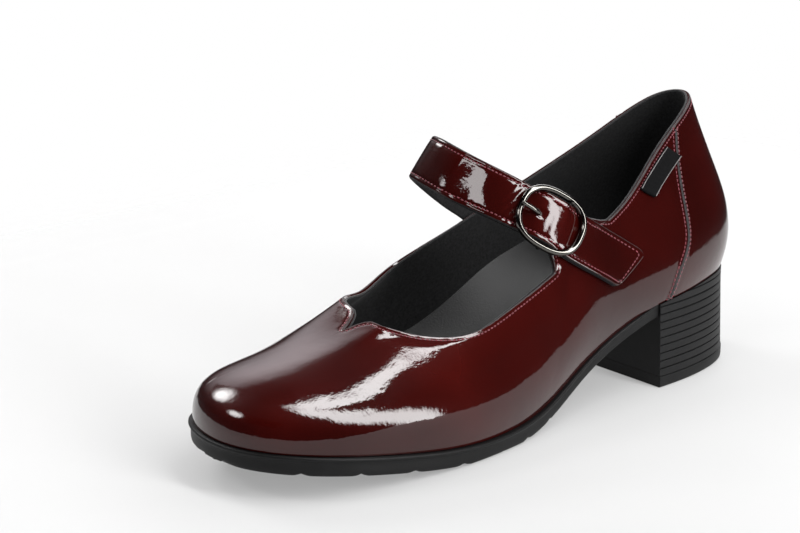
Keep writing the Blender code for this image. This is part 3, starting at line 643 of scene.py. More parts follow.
def textile(name, colour, roughness, weave_mm, depth_mm, sheen):
    """Close-woven cloth."""
    return grained(name, colour, roughness, shades(colour, 0.6, 1.5), (weave_mm * 2.0, 3.0, 0.7),
                   (weave_mm, 2.0, 0.5, 1.0, depth_mm),
                   {"Sheen Weight": sheen, "Sheen Roughness": 0.5, "Specular IOR Level": 0.08})


def footbed_leather():
    """Smooth black leather, dulled by wear."""
    return grained("footbed_leather", (0.006, 0.006, 0.0062), 0.42,
                   ((0.0022, 0.0022, 0.0023), (0.0040, 0.0040, 0.0042)), (18.0, 2.0, 0.5),
                   (0.8, 3.0, 0.6, 1.0, 0.06), {"Specular IOR Level": 0.3})


def rubber(name, colour, roughness, grain_mm, depth_mm):
    """Matt moulded rubber."""
    return grained(name, colour, roughness, shades(colour, 0.75, 1.3), (8.0, 4.0, 0.65),
                   (grain_mm, 3.0, 0.6, 0.6, depth_mm), {"Specular IOR Level": 0.22})


def thread(name, colour):
    """Sewing thread."""
    return grained(name, colour, 0.5, shades(colour, 0.7, 1.25), (3.0, 2.0, 0.5),
                   (0.15, 1.0, 0.5, 0.6, 0.05), {"Sheen Weight": 0.3})


def gunmetal():
    """Dark polished metal, a little uneven in its polish."""
    material, tree, shader = material_nodes("gunmetal", (0.125, 0.12, 0.11), 0.14, 1.0)
    vector = object_coordinates(tree)
    ramp = colour_ramp(tree, noise_texture(tree, vector, 2.5, 4.0, 0.7),
                       ((0.3, (0.10, 0.10, 0.10)), (0.75, (0.19, 0.19, 0.19))))
    tree.links.new(ramp, shader.inputs["Roughness"])
    return material


PATENT = patent_leather()
LINING = textile("lining_textile", (0.0135, 0.0135, 0.014), 0.85, 0.5, 0.06, 0.06)
EDGE_CLOTH = textile("edge_cloth", (0.021, 0.0205, 0.0215), 0.8, 0.45, 0.16, 0.25)
CUT_EDGE = textile("cut_edge", (0.050, 0.044, 0.045), 0.7, 0.4, 0.08, 0.1)
RAW_EDGE = textile("raw_edge", (0.012, 0.0115, 0.012), 0.85, 0.5, 0.2, 0.1)
RIBBON = textile("woven_ribbon", (0.0035, 0.0035, 0.0038), 0.8, 0.3, 0.08, 0.0)
FOOTBED = footbed_leather()
SOLE = rubber("sole_rubber", (0.0045, 0.0045, 0.0047), 0.5, 0.8, 0.05)
STACK = rubber("heel_stack", (0.0055, 0.0055, 0.0058), 0.5, 0.6, 0.05)
METAL = gunmetal()
RED_THREAD = thread("red_thread", (0.15, 0.013, 0.026))
DARK_THREAD = thread("dark_thread", (0.03, 0.012, 0.014))
GREY_THREAD = thread("grey_thread", (0.16, 0.15, 0.15))


# Upper

# Distances of the leather's rows from its top edge, and shares of the way up the ear
EDGE_STEPS = (0.0, 0.12, 0.26, 0.42, 0.62, 0.85, 1.1, 1.35, 1.6, 1.85, 2.1, 2.4, 2.8, 3.4, 4.4, 6.0)
EAR_SHARES = np.linspace(0.0, 1.0, 15)[1:]
BODY_ROWS = 51              # rows below them, down to the feather line
SWELL_TOP = 0.934           # height on the rib from which the swells fade out to the top edge
# The counter seams: section number and height on the rib, from the top line down
SEAM_OUTER = ((8.36, 0.985), (8.10, 0.848), (7.92, 0.726), (7.69, 0.532),
              (7.57, 0.42), (7.45, 0.335), (7.25, 0.194), (7.12, 0.0))
SEAM_INNER = ((11.62, 0.985), (11.72, 0.85), (11.85, 0.66), (12.0, 0.48),
              (12.15, 0.32), (12.3, 0.16), (12.42, 0.0))


def leather_sections():
    """Section numbers of the leather's columns, closer together at the notch and the ear."""
    base = np.arange(0.0, SECTIONS, 0.045)
    keep = ((base > 0.4) & (base < SECTIONS - 1.1)) & ((base < 4.8) | (base > 6.4))
    notch = np.arange(-1.09, 0.39, 0.0135)
    ear = np.arange(4.81, 6.4, 0.022)
    return np.sort(np.mod(np.concatenate([base[keep], notch, ear]), SECTIONS))


def notch_reach(sections):
    """Height value of the top edge with its notch, and the rib's length for each unit of height there."""
    _, _, high, top = LAST_FORM.ribs(sections)
    speed = 3.0 * np.linalg.norm(top - high, axis=1)
    table = np.array(NOTCH, float)
    from_toe = np.where(sections > SECTIONS / 2, sections - SECTIONS, sections)
    shifts = (-0.03, -0.015, 0.0, 0.015, 0.03)
    dip = sum(np.interp(from_toe + shift, table[:, 0], table[:, 1]) for shift in shifts)
    return 1.0 - dip / len(shifts) / speed, speed


# Where the stretched leather stands fuller or flatter than the plain form: millimetres, the middle's
# section number and height on the rib, and how far it spreads along each
SWELLS = (
    (1.73, 2.05, 0.81, 0.75, 0.185),    # outer shoulder of the vamp, beside the throat
    (0.28, 1.76, 0.90, 0.56, 0.091),    # its upper edge, under the topline stitches
    (-0.95, 1.60, 0.35, 1.03, 0.17),    # below it
    (-1.70, 4.30, 0.48, 0.95, 0.20),    # hollow of the outer waist
    (0.85, 8.00, 0.49, 1.05, 0.20),     # counter, outer side
)


def swell(sections, heights):
    """How far the leather stands out at each section number and height, nothing at both its edges."""
    total = np.zeros(np.broadcast(sections, heights).shape)
    for amount, section, height, long_spread, high_spread in SWELLS:
        total += amount * np.exp(-((sections - section) / long_spread) ** 2
                                 - ((heights - height) / high_spread) ** 2)
    return total * smooth_step(heights, 1.0, SWELL_TOP) * np.clip(heights / 0.08, 0.0, 1.0)


class UpperForm:
    """Outer face of the upper as rows of points from the feather line to the top edge, with normals."""

    def __init__(self):
        self.sections = leather_sections()
        reach, speed = notch_reach(self.sections)
        heights = [reach - step / speed for step in EDGE_STEPS]
        lower = heights[-1]
        rows = [lower * share for share in np.linspace(0.0, 1.0, BODY_ROWS + 1)[:-1]] + heights[::-1]
        self.heights = np.array(rows)
        self.points = np.array([LAST_FORM.surface(self.sections, row) for row in rows])
        self.normals = np.array([LAST_FORM.normal(self.sections, row) for row in rows])
        self.points = self.points + self.normals * swell(self.sections, self.heights)[..., None]
        far = 50.0
        steps = np.array((far,) * BODY_ROWS + EDGE_STEPS[::-1])
        self.distance = np.repeat(steps[:, None], len(self.sections), 1)
        self.weight = ear_weight(self.sections)
        ears, ear_normals = [], []
        for share in EAR_SHARES:
            outside, inside = ear_points(self.sections, self.points[-1], share)
            ears.append(outside)
            ear_normals.append((outside - inside) / UPPER_WALL)
        self.ears = np.array(ears)
        self.ear_normals = np.array(ear_normals)
        self.edge = self.ears[-1]
        self.edge_normal = self.ear_normals[-1]


UPPER = UpperForm()


def edge_offset_path(inset, step):
    """A path on the leather at one distance from its top edge, all the way round."""
    edge = UPPER.edge
    path = edge + unit(np.cross(path_run(edge, closed=True), UPPER.edge_normal)) * inset
    tree = point_tree(edge)
    far = np.array([tree.find(Vector(point))[2] for point in path]) > inset * 0.93
    return resample(path[far], step, closed=True)


def seam_path(table):
    """A counter seam's line on the leather."""
    rows = np.array(table, float)
    knots = np.arange(len(rows), dtype=float)
    line = Spline(knots, rows)(np.linspace(0.0, knots[-1], 300))
    fuller = swell(line[:, 0], line[:, 1])
    return resample(LAST_FORM.wall_depth(line[:, 0], line[:, 1], -fuller), 0.5)


TOPLINE = edge_offset_path(STITCH_INSET, STITCH_PITCH)
SEAMS = (seam_path(SEAM_OUTER), seam_path(SEAM_INNER))


def near_path(points, paths, limit):
    """Distance from each point to the nearest point of the paths, no more than limit."""
    line = np.concatenate([resample(path, 0.25) for path in paths])
    tree = point_tree(line)
    flat = points.reshape(-1, 3)
    result = np.full(len(flat), limit)
    lowest, highest = line.min(0) - limit, line.max(0) + limit
    inside = np.flatnonzero(((flat > lowest) & (flat < highest)).all(1))
    for i in inside:
        result[i] = min(limit, tree.find(Vector(flat[i]))[2])
    return result.reshape(points.shape[:-1])


def leather_relief(points):
    """Small rises and dips of the leather: puckered stitch grooves, seam ridges and soft waves."""
    to_stitch = near_path(points, (np.concatenate([TOPLINE, TOPLINE[:1]]),), 2.0)
    relief = -0.14 * np.exp(-(to_stitch / 0.45) ** 2)
    relief += 0.07 * np.exp(-(to_stitch / 1.3) ** 2) * noise(points, 1.7, 5)
    to_seam = near_path(points, SEAMS, 4.0)
    relief += 0.22 * np.exp(-(to_seam / 1.3) ** 4) - 0.15 * np.exp(-((to_seam - 1.9) / 0.5) ** 2)
    relief += 0.030 * noise(points, 8.0, 3) + 0.008 * noise(points, 3.2, 4)
    return relief


def leather_layers():
    """Rings of the leather, up its outer face, over its rounded edge and down its inner face."""
    body = UPPER.points + UPPER.normals * leather_relief(UPPER.points)[..., None]
    inside_round = np.maximum(0.0, CUT_EDGE_WIDTH - UPPER.distance)
    sink = CUT_EDGE_WIDTH - np.sqrt(np.maximum(0.0, CUT_EDGE_WIDTH ** 2 - inside_round ** 2))
    low_ear = (1.0 - UPPER.weight)[None, :, None]
    body = body - UPPER.normals * sink[..., None] * low_ear
    ears = UPPER.ears - UPPER.ear_normals * (CUT_EDGE_WIDTH * low_ear)
    last = ears[-1] - UPPER.edge_normal * CUT_EDGE_WIDTH * (1.0 - low_ear[0])
    ears = np.concatenate([ears[:-1], last[None]])
    inside = [UPPER.edge - UPPER.edge_normal * (LEATHER - 0.15)]
    ear_inner = UPPER.ears[::-1][1:] - UPPER.ear_normals[::-1][1:] * LEATHER
    body_inner = (UPPER.points - UPPER.normals * LEATHER)[::-1]
    return np.concatenate([body, ears, inside, ear_inner[::3], body_inner[::4]])


def make_upper():
    """The leather, with its cut edge in an unpolished material."""
    points, faces = shell(leather_layers())
    leather = make_piece("vamp_and_quarters", points, faces, PATENT, 55.0)
    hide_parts("upper")
    leather.data.materials.append(CUT_EDGE)
    tree = point_tree(place(resample(UPPER.edge, 0.3, closed=True)))
    for face in leather.data.polygons:
        face.material_index = int(tree.find(face.center)[2] < CUT_EDGE_WIDTH * MM)
    return leather


def make_lining():
    """The textile lining, a little slack inside the leather."""
    outside = UPPER.edge - UPPER.edge_normal * (LEATHER + 0.05)
    ear_inner = UPPER.ears[::-1] - UPPER.ear_normals[::-1] * UPPER_WALL
    body_inner = (UPPER.points - UPPER.normals * UPPER_WALL)[::-1]
    soft = 0.10 * noise(body_inner, 11.0, 9)
    body_inner = body_inner + UPPER.normals[::-1] * soft[..., None]
    body_outer = UPPER.points - UPPER.normals * (LEATHER + 0.05)
    points, faces = shell(np.concatenate([body_outer[::6], outside[None], ear_inner[::2], body_inner]))
    make_piece("textile_lining", points, faces, LINING, 60.0)


def make_lining_edge():
    """The lining's cut edge, which shows all round the collar as a thin grey line."""
    inward = unit(np.cross(path_run(UPPER.edge, closed=True), UPPER.edge_normal))
    middle = UPPER.edge - UPPER.edge_normal * 1.55 - inward * 0.12
    backness = np.exp(-((UPPER.sections - BACK) / 2.6) ** 2)
    path = resample(np.column_stack([middle, backness]), 1.0, closed=True)
    tree = point_tree(middle)
    reference = np.array([UPPER.edge_normal[tree.find(Vector(p[:3]))[1]] for p in path])
    radius = 0.34 + 0.08 * path[:, 3] + 0.06 * noise(path[:, :3], 1.6, 21)
    points, faces = tube(path[:, :3], radius, reference, 12, closed=True)
    make_piece("lining_edge", points, faces, EDGE_CLOTH, 80.0)


def surface_normals(piece, points):
    """Nearest places on a piece and its normals there."""
    tree = BVHTree.FromPolygons([v.co for v in piece.data.vertices],
                                [tuple(p.vertices) for p in piece.data.polygons])
    places, normals = [], []
    for point in place(points):
        spot, normal, _, _ = tree.find_nearest(Vector(point))
        places.append(spot)
        normals.append(normal)
    return np.array(places) / MM + [HEEL_CENTRE_X, 0.0, 0.0], np.array(normals)


def make_topline_stitches(leather):
    """The stitches that follow the top edge all the way round."""
    path, normals = surface_normals(leather, TOPLINE)
    points, faces = stitch_mesh([(path, normals, True)], STITCH_PITCH * 0.82, 0.27)
    make_piece("topline_stitches", points, faces, RED_THREAD, None, weld=False)


def side_of(path, normals, distance):
    """The path moved sideways over the surface."""
    return path + unit(np.cross(path_run(path), normals)) * distance


def make_seam_band(name, path, normals):
    """The low rounded band of edging sewn into a counter seam."""
    side = unit(np.cross(path_run(path), normals))
    wobble = 0.09 * noise(path, 1.2, 31)
    rows = []
    for angle in np.linspace(-1.15, 1.15, 9):
        lift = 0.50 * math.cos(angle) - 0.30 + wobble
        rows.append(path + side * (0.60 * math.sin(angle)) + normals * lift[:, None])
    rows.append(path - normals * 0.4)
    count = len(path)
    faces = grid_faces(len(rows), count, wrap_rows=True)
    faces.append(tuple(k * count for k in range(len(rows))))
    faces.append(tuple(k * count + count - 1 for k in range(len(rows)))[::-1])
    make_piece(name, np.concatenate(rows), faces, EDGE_CLOTH, 60.0)


def make_seams(leather):
    """The counter seams: each has a band of edging between red stitches, and dark stitches beside it."""
    red, dark = [], []
    for name, seam, turn in (("outer_seam_band", SEAMS[0], 1.0), ("inner_seam_band", SEAMS[1], -1.0)):
        path, normals = surface_normals(leather, seam)
        make_seam_band(name, path, normals)
        for distance, lift, store in ((1.35, 0.0, red), (-1.35, 0.0, red), (-0.75, 0.12, dark)):
            line = resample(side_of(path, normals, turn * distance), 1.75)
            spot, out = surface_normals(leather, line)
            store.append((spot + out * lift, out, False))
    points, faces = stitch_mesh(red, 1.45, 0.24)
    make_piece("seam_stitches", points, faces, RED_THREAD, None, weld=False)
    points, faces = stitch_mesh(dark, 1.35, 0.24)
    make_piece("seam_dark_stitches", points, faces, DARK_THREAD, None, weld=False)


# Side tab

TAB_LENGTH = 22.0
TAB_HEIGHT = 9.0
TAB_CURL = (0.75, 1.0)      # shares of its length over which its front end lifts off the leather


def tab_grid(u, v, out):
    """Points of the tab at shares along and across it, out from the upper."""
    shares = ((1 - u) * (1 - v), (1 - u) * v, u * v, u * (1 - v))
    section, height = (sum(share * corner[k] for share, corner in zip(shares, TAB_CORNERS)) for k in (0, 1))
    return LAST_FORM.wall_depth(section, height, -out)


def make_tab():
    """The woven tab beside the collar, with pale threads along its long edges."""
    long_way, short_way = 60, 24
    u, v = np.meshgrid(np.linspace(0.0, 1.0, long_way), np.linspace(0.0, 1.0, short_way), indexing="ij")
    rim = np.minimum.reduce([u * TAB_LENGTH, (1 - u) * TAB_LENGTH, v * TAB_HEIGHT, (1 - v) * TAB_HEIGHT])
    near_rim = np.clip(rim / 0.7, 0.0, 1.0)
    puff = np.sqrt(near_rim * (2.0 - near_rim))
    weave_pitch = 0.9
    weave = (0.035 * np.sin(u * TAB_LENGTH * 2 * np.pi / weave_pitch)
             * np.sin(v * TAB_HEIGHT * 2 * np.pi / weave_pitch))
    curl = smooth_step(u, *TAB_CURL)
    top = tab_grid(u.ravel(), v.ravel(), (0.35 + 0.75 * puff + weave * puff + 0.5 * curl).ravel())
    under = tab_grid(u.ravel(), v.ravel(), (0.3 - 0.25 * puff + 0.45 * curl).ravel())
    count = long_way * short_way
    faces = grid_faces(long_way, short_way)
    faces += [[k + count for k in reversed(f)] for f in grid_faces(long_way, short_way)]
    index = np.arange(count).reshape(long_way, short_way)
    rim_index = np.concatenate([index[:, 0], index[-1, 1:], index[-2::-1, -1], index[0, -2:0:-1]])
    for a, b in zip(rim_index, np.roll(rim_index, -1)):
        faces.append((a, b, b + count, a + count))
    tab = make_piece("side_ribbon", np.concatenate([top, under]), faces, RIBBON, 60.0)
    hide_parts("side_tab")
    points, faces = [], []
    edge_u = np.linspace(0.02, 0.98, 90)
    normal = LAST_FORM.normal(np.full(90, 7.7), np.full(90, 0.9))
    for across in (0.035, 0.965):
        line = tab_grid(edge_u, np.full(90, across), 1.0 + 0.5 * smooth_step(edge_u, *TAB_CURL))
        more, more_faces = tube(line, 0.17, normal, 6)
        start = sum(len(p) for p in points)
        faces += [tuple(k + start for k in f) for f in more_faces]
        points.append(more)
    make_piece("ribbon_edges", np.concatenate(points), faces, GREY_THREAD, 80.0)


# Strap and buckle

def strap_relief(at, along, across):
    """Rises and dips of the strap's face at distances from its cut end, along it and across it."""
    half = STRAP_WIDTH / 2.0
    from_bar = along - BAR_PLACE
    spot = np.stack([along, across / 3.2, np.zeros_like(along)], -1)
    # a padded middle, with small waves and more of them round the buckle
    relief = 0.22 * (1.0 - np.abs(across / half) ** 3)
    folds = np.exp(-(np.abs(from_bar + 1.0) / 16.0) ** 2)
    relief = relief + 0.16 * folds * noise(spot, 2.6, 41) + 0.07 * noise(spot, 7.0, 42)
    # creases where the strap bends down to the buckle, and slack leather behind them
    pinch = np.exp(-((from_bar - 15.0) / 2.6) ** 2)
    relief = relief + 0.26 * pinch * np.cos(2.0 * np.pi * (along - 0.42 * across) / 2.7)
    slack = np.exp(-((from_bar - 33.0) / 11.0) ** 2)
    relief = relief + slack * (0.40 * noise(spot, 7.0, 43) + 0.10 * noise(spot, 2.5, 44))
    # fullness inside the ring
    inside_ring = np.exp(-(np.abs(from_bar) / 8.5) ** 6)
    relief = relief + 0.25 * inside_ring * (1.0 - (across / half) ** 2)
    # grooves under the stitches, puckered leather beside them
    from_stitch = np.abs(across) - half + STRAP_STITCH_INSET
    relief = relief - 0.16 * np.exp(-(from_stitch / 0.5) ** 2)
    relief = relief - 0.16 * np.exp(-((at - STRAP_STITCH_INSET) / 0.5) ** 2)
    pucker = np.exp(-(from_stitch / 1.1) ** 2)
    relief = relief + 0.11 * pucker * noise(np.stack([along, across, np.zeros_like(along)], -1), 1.6, 45)
    # the prong's hole
    hole = ((along - BAR_PLACE - 4.9) / 1.7) ** 2 + (across / 1.25) ** 2
    return relief - 0.9 * np.exp(-hole ** 2)


def strap_edge_lines():
    """Where the strap's stitches run: along both edges and round the free end."""
    inset = STRAP_WIDTH / 2.0 - STRAP_STITCH_INSET
    along = np.linspace(2.6, STRAP_LENGTH - 3.0, 400)
    corner = np.linspace(inset - 1.2, -inset + 1.2, 20)
    front = np.column_stack([along[::-1], np.full(len(along), inset)])
    end = np.column_stack([np.full(len(corner), STRAP_STITCH_INSET), corner])
    back = np.column_stack([along, np.full(len(along), -inset)])
    return np.concatenate([front, end, back])


def strap_slant(at, across):
    """Distance along the strap, with the slant of its cut end fading out behind it."""
    share = np.clip(1.0 - at / FREE_END_SLANT_REACH, 0.0, 1.0) ** 2
    return at + FREE_END_SLANT * share * across / (STRAP_WIDTH / 2.0)


def ease_rows(rows, places):
    """Evens out the strap where it leaves the quarters and climbs to the buckle."""
    free = smooth_step(places, 10.0, 17.0) * (1.0 - smooth_step(places, 27.0, 33.0))
    from_end = STRAP_LENGTH - places
    sewn = smooth_step(from_end, 9.0, 14.0) * (1.0 - smooth_step(from_end, 34.0, 40.0))
    for amount, rounds in ((free, 60), (sewn, 24)):
        share = amount[1:-1, None, None] * 0.5
        for _ in range(rounds):
            middle = (rows[:-2] + rows[2:]) / 2.0
            rows = np.concatenate([rows[:1], rows[1:-1] + share * (middle - rows[1:-1]), rows[-1:]])
    return rows


def strap_layer(name, top, bottom, wider, material, worked):
    """A layer of the strap between two heights from its middle, with raw edges.

    Only the worked layer has the relief of the strap's face.
    """
    half = STRAP_WIDTH / 2.0 + wider
    corner = 3.2            # radius of the corners at the cut end
    columns = 31            # points across the face
    places = np.concatenate([[0.0, 0.12, 0.35, 0.7, 1.15, 1.7, 2.4, 3.2],
                             np.arange(4.0, STRAP_LENGTH - 1.0, 0.75),
                             STRAP_LENGTH - np.array([0.7, 0.35, 0.12, 0.0])])
    inset = corner - np.sqrt(np.maximum(0.0, corner ** 2 - np.maximum(0.0, corner - places) ** 2))
    face = np.sin(np.linspace(-np.pi / 2, np.pi / 2, columns))
    face = np.sign(face) * np.abs(face) ** 0.8
    end_round = np.minimum(places, STRAP_LENGTH - places)
    thin = np.sqrt(np.clip(end_round / 0.45, 0.02, 1.0))
    edge_round = np.sqrt(np.clip((1.0 - np.abs(face)) * half / 0.5, 0.0, 1.0))
    middle = (top + bottom) / 2.0
    across = face[None, :] * (half - inset)[:, None]
    at = np.repeat(places[:, None], columns, 1)
    along = strap_slant(at, across)
    relief = strap_relief(at, along, across) if worked else 0.0
    rim = edge_round[None, :] * thin[:, None]
    upper = middle + (top - middle + relief) * rim
    lower = middle + (bottom - middle) * rim
    outer = ease_rows(strap_points(along, across, upper).reshape(at.shape + (3,)), places)
    inner = ease_rows(strap_points(along, across, lower).reshape(at.shape + (3,)), places)
    rows = np.concatenate([outer, inner[:, ::-1][:, 1:-1]], 1)
    count = rows.shape[1]
    faces = grid_faces(len(rows), count, wrap_columns=True)
    faces.append(tuple(range(count))[::-1])
    faces.append(tuple(range(count * (len(rows) - 1), count * len(rows))))
    piece = make_piece(name, rows.reshape(-1, 3), faces, material, 60.0)
    piece.data.materials.append(RAW_EDGE)
    side = [int(f[0] % count >= columns - 4 or f[0] % count < 3) for f in faces]
    piece.data.polygons.foreach_set("material_index", side)
    return piece


def make_strap():
    """The strap: patent leather stitched to a dark backing."""
    leather = strap_layer("strap_leather", 1.2, -0.15, 0.0, PATENT, True)
    strap_layer("strap_backing", -0.2, -1.2, 0.22, RAW_EDGE, False)
    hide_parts("strap")
    line = resample(strap_edge_lines(), STITCH_PITCH)
    along = strap_slant(line[:, 0], line[:, 1])
    raw = strap_points(along, line[:, 1], np.full(len(line), 1.25))
    spot, normals = surface_normals(leather, raw)
    points, faces = stitch_mesh([(spot, normals, False)], 1.35, 0.26)
    make_piece("strap_stitches", points, faces, RED_THREAD, None, weld=False)


def buckle_axes():
    """The buckle's middle and its directions along the strap, across it and outwards."""
    along = unit(np.array(BUCKLE_ALONG, float))
    width = np.array(BUCKLE_WIDTH, float)
    width = unit(width - along * (width @ along))
    return np.array(BUCKLE_CENTRE, float), along, width, np.cross(along, width)


def from_buckle(places):
    """Points given as (along, width, out) from the buckle's middle."""
    centre, along, width, out = buckle_axes()
    places = np.asarray(places, float)
    return centre + places[:, :1] * along + places[:, 1:2] * width + places[:, 2:] * out


def smooth_path(path, count):
    """A smooth curve through the points of a path."""
    knots = path_lengths(path)
    return Spline(knots, path)(np.linspace(0.0, knots[-1], count))


def make_buckle_ring():
    """The oval frame: a superellipse of wire, thicker out from the strap than across."""
    wire = BUCKLE_WIRE / 2.0
    angles = np.arange(160) * 2.0 * np.pi / 160
    power = 2.0 / BUCKLE_ROUNDNESS
    ring = np.column_stack([
        (BUCKLE_HALF_LENGTH - wire) * np.sign(np.cos(angles)) * np.abs(np.cos(angles)) ** power,
        (BUCKLE_HALF_WIDTH - wire) * np.sign(np.sin(angles)) * np.abs(np.sin(angles)) ** power,
        np.zeros(len(angles))])
    ring = resample(ring, 0.5, closed=True)
    points, faces = tube(from_buckle(ring), wire, buckle_axes()[3], 20, closed=True, flat=1.25)
    piece = make_piece("buckle_ring", points, faces, METAL, 80.0)
    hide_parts("buckle_frame")


def make_buckle_bar():
    """The centre bar, which drops from the ring on both sides and runs under the strap."""
    bend = 0.8
    side = BUCKLE_HALF_WIDTH - BUCKLE_WIRE / 2.0
    bar = [(0, side, 0.0), (0, side, -BAR_DEPTH + bend)]
    bar += [(0, side - bend * (1 - math.cos(a)), -BAR_DEPTH + bend * (1 - math.sin(a)))
            for a in np.radians((20, 40, 60, 75, 90))]
    bar += [(0, y, -BAR_DEPTH) for y in (8.0, 5.0, 0.0)]
    bar += [(0, -y, z) for _, y, z in bar[:-1][::-1]]
    points, faces = tube(from_buckle(bar), BAR_WIRE / 2.0, buckle_axes()[1], 14)
    make_piece("buckle_bar", points, faces, METAL, 80.0)


def make_prong():
    """The prong: it hooks round the bar, comes up through the strap and rests on the ring."""
    reach = BAR_WIRE / 2.0 + GAP + PRONG_WIRE / 2.0
    rest = BUCKLE_HALF_LENGTH - BUCKLE_WIRE / 2.0
    top = BUCKLE_WIRE / 2.0 + 0.1 + PRONG_WIRE / 2.0
    path = [(reach * math.cos(a), 0, -BAR_DEPTH + reach * math.sin(a))
            for a in np.radians((-95, -70, -45, -20))]
    path += [(2.6, 0, -2.7), (3.6, 0, -1.8), (4.8, 0, -0.5), (6.2, 0, 0.75), (8.0, 0, 1.6),
             (10.5, 0, top - 0.15), (rest, 0, top), (rest + 1.0, 0, top - 0.1)]
    path = smooth_path(np.array(path, float), 60)
    radius = np.full(len(path), PRONG_WIRE / 2.0)
    radius[-6:] = PRONG_WIRE / 2.0 * np.sqrt(1.0 - (np.arange(1, 7) / 6.2) ** 2)
    points, faces = tube(from_buckle(path), radius, buckle_axes()[2], 14)
    piece = make_piece("prong", points, faces, METAL, 80.0)
    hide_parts("buckle_prong")


# Sole, heel and footbed

# Edge of the outsole from its top down: share of its depth, and offset out from the feather line
SOLE_SIDE = (
    (0.0, -1.5), (0.0, 0.9), (0.02, 1.25), (0.07, 1.5), (0.13, 1.55), (0.19, 1.35), (0.22, 0.95),
    (0.27, 0.75), (0.4, 0.7), (0.6, 0.75), (0.8, 0.75), (0.9, 0.6), (0.96, 0.25), (1.0, -0.5),
)
# Edge of the top lift from its top down: offset out from the feather line, and height
LIFT_SIDE = (
    (-3.0, LIFT_THICKNESS), (1.6, LIFT_THICKNESS), (1.82, LIFT_THICKNESS - 0.12), (1.9, LIFT_THICKNESS - 0.4),
    (1.9, 0.8), (1.85, 0.35), (1.6, 0.08), (1.2, 0.0),
)
# Where the outsole's lugs end along the shoe, how far the underside rises there, and the flat share
LUG_NOTCHES = (120, 134, 148.5, 168, 189.5, 211, 230.5, 246)
NOTCH_RISE = 1.0
LUG_FLAT = 0.62


def outline(sections, offset):
    """The feather line seen from above, moved outwards by offset."""
    foot = LAST_FORM.ribs(sections)[0]
    ahead = LAST_FORM.ribs(sections + 0.02)[0]
    behind = LAST_FORM.ribs(sections - 0.02)[0]
    step = ahead[:, :2] - behind[:, :2]
    normal = unit(np.column_stack([-step[:, 1], step[:, 0]]))
    side = np.sign(((foot[:, :2] - FOOT_MIDDLE) * normal).sum(1))
    return foot[:, :2] + normal * (side * offset)[:, None]


def sole_bottom(x):
    """Height of the outsole's underside, with its lugs."""
    x = np.asarray(x, float)
    forward = smooth_step(x, *SOLE_THINNING)
    base = LAST_FORM.feather_height(x) - GAP - SOLE_WAIST - (SOLE_FOREPART - SOLE_WAIST) * forward
    height = np.array(base, float)
    for front, back in zip(LUG_NOTCHES[1:], LUG_NOTCHES[:-1]):
        middle, half = (front + back) / 2.0, abs(front - back) / 2.0
        inside = np.abs(x - middle) <= half
        rise = np.clip((np.abs(x - middle) / half - LUG_FLAT) / (1.0 - LUG_FLAT), 0.0, 1.0)
        height = np.where(inside, base + NOTCH_RISE * rise ** 2.2, height)
    return np.maximum(height, 0.0)


def fill_between(ring, across, height):
    """Strips from a ring's outer side to its inner side: the points inside it, and the faces."""
    count = len(ring)
    half = count // 2
    outer, inner = ring[1:half], ring[count - 1:count - half:-1]
    share = (np.arange(1, across) / across)[None, :, None]
    inside = outer[:, None] * (1 - share) + inner[:, None] * share
    beside = np.where(share[..., 0] < 0.5, outer[:, None, 2], inner[:, None, 2])
    strip = np.arange(1, half)
    end = np.clip(1.0 - np.minimum(strip, half - strip) / (half / 8.0), 0.0, 1.0) ** 2
    nearness = np.maximum(end[:, None], np.abs(2.0 * share[..., 0] - 1.0) ** 2.6)
    inside[..., 2] = height(inside[..., 0], beside, nearness)

    def faces(ring_start, inner_start):
        def at(i, k):
            if i in (0, half) or k == 0:
                return ring_start + i
            if k == across:
                return ring_start + count - i
            return inner_start + (i - 1) * (across - 1) + k - 1
        result = []
        for i in range(half):
            for k in range(across):
                corners = dict.fromkeys((at(i, k), at(i + 1, k), at(i + 1, k + 1), at(i, k + 1)))
                if len(corners) > 2:
                    result.append(tuple(corners))
        return result
    return inside.reshape(-1, 3), faces


def ring_solid(rings, across, top_height, bottom_height):
    """Points and faces of a solid whose side is a stack of rings, with strips over its two ends."""
    rings = np.array(rings)
    count = rings.shape[1]
    points = [rings.reshape(-1, 3)]
    total = len(points[0])
    faces = grid_faces(len(rings), count, wrap_columns=True)
    for number, height in ((0, top_height), (len(rings) - 1, bottom_height)):
        inside, cap = fill_between(rings[number], across, height)
        faces += cap(number * count, total)
        points.append(inside)
        total += len(inside)
    return np.concatenate(points), faces


def make_outsole():
    """The outsole, with a moulded edge in front of the heel and a plain one inside the seat."""
    sections = np.arange(520) * SECTIONS / 520
    foot = LAST_FORM.ribs(sections)[0]
    forward = smooth_step(foot[:, 0], 52.0, 70.0)
    edge = smooth_step(foot[:, 0], 70.0, 130.0)
    rings = []
    for share, offset in SOLE_SIDE:
        reach = np.where(offset > 0.7, 0.7 + (offset - 0.7) * (0.35 + 0.65 * edge), offset)
        plan = outline(sections, reach * forward - 0.6 * (1.0 - forward))
        top = LAST_FORM.feather_height(plan[:, 0]) - GAP
        depth = top - sole_bottom(plan[:, 0])
        rings.append(np.column_stack([plan, top - depth * share]))
    points, faces = ring_solid(
        rings, 14,
        lambda x, beside, nearness: LAST_FORM.feather_height(x) - GAP,
        lambda x, beside, nearness: sole_bottom(x))
    sole = make_piece("rubber_outsole", points, faces, SOLE, 45.0)
    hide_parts("outsole")


def heel_plan(offset):
    """D-shaped plan of the heel, moved outwards by offset: the arc, whose ends lie on the breast."""
    start = np.interp(HEEL_BREAST_X, [54.0, 92.0], [7.0, 6.0])
    end = np.interp(HEEL_BREAST_X, [29.5, 60.0], [12.0, 13.0])
    sections = np.linspace(start, end, 170)
    plan = outline(sections, np.full(len(sections), offset))
    plan[[0, -1], 0] = HEEL_BREAST_X
    return plan


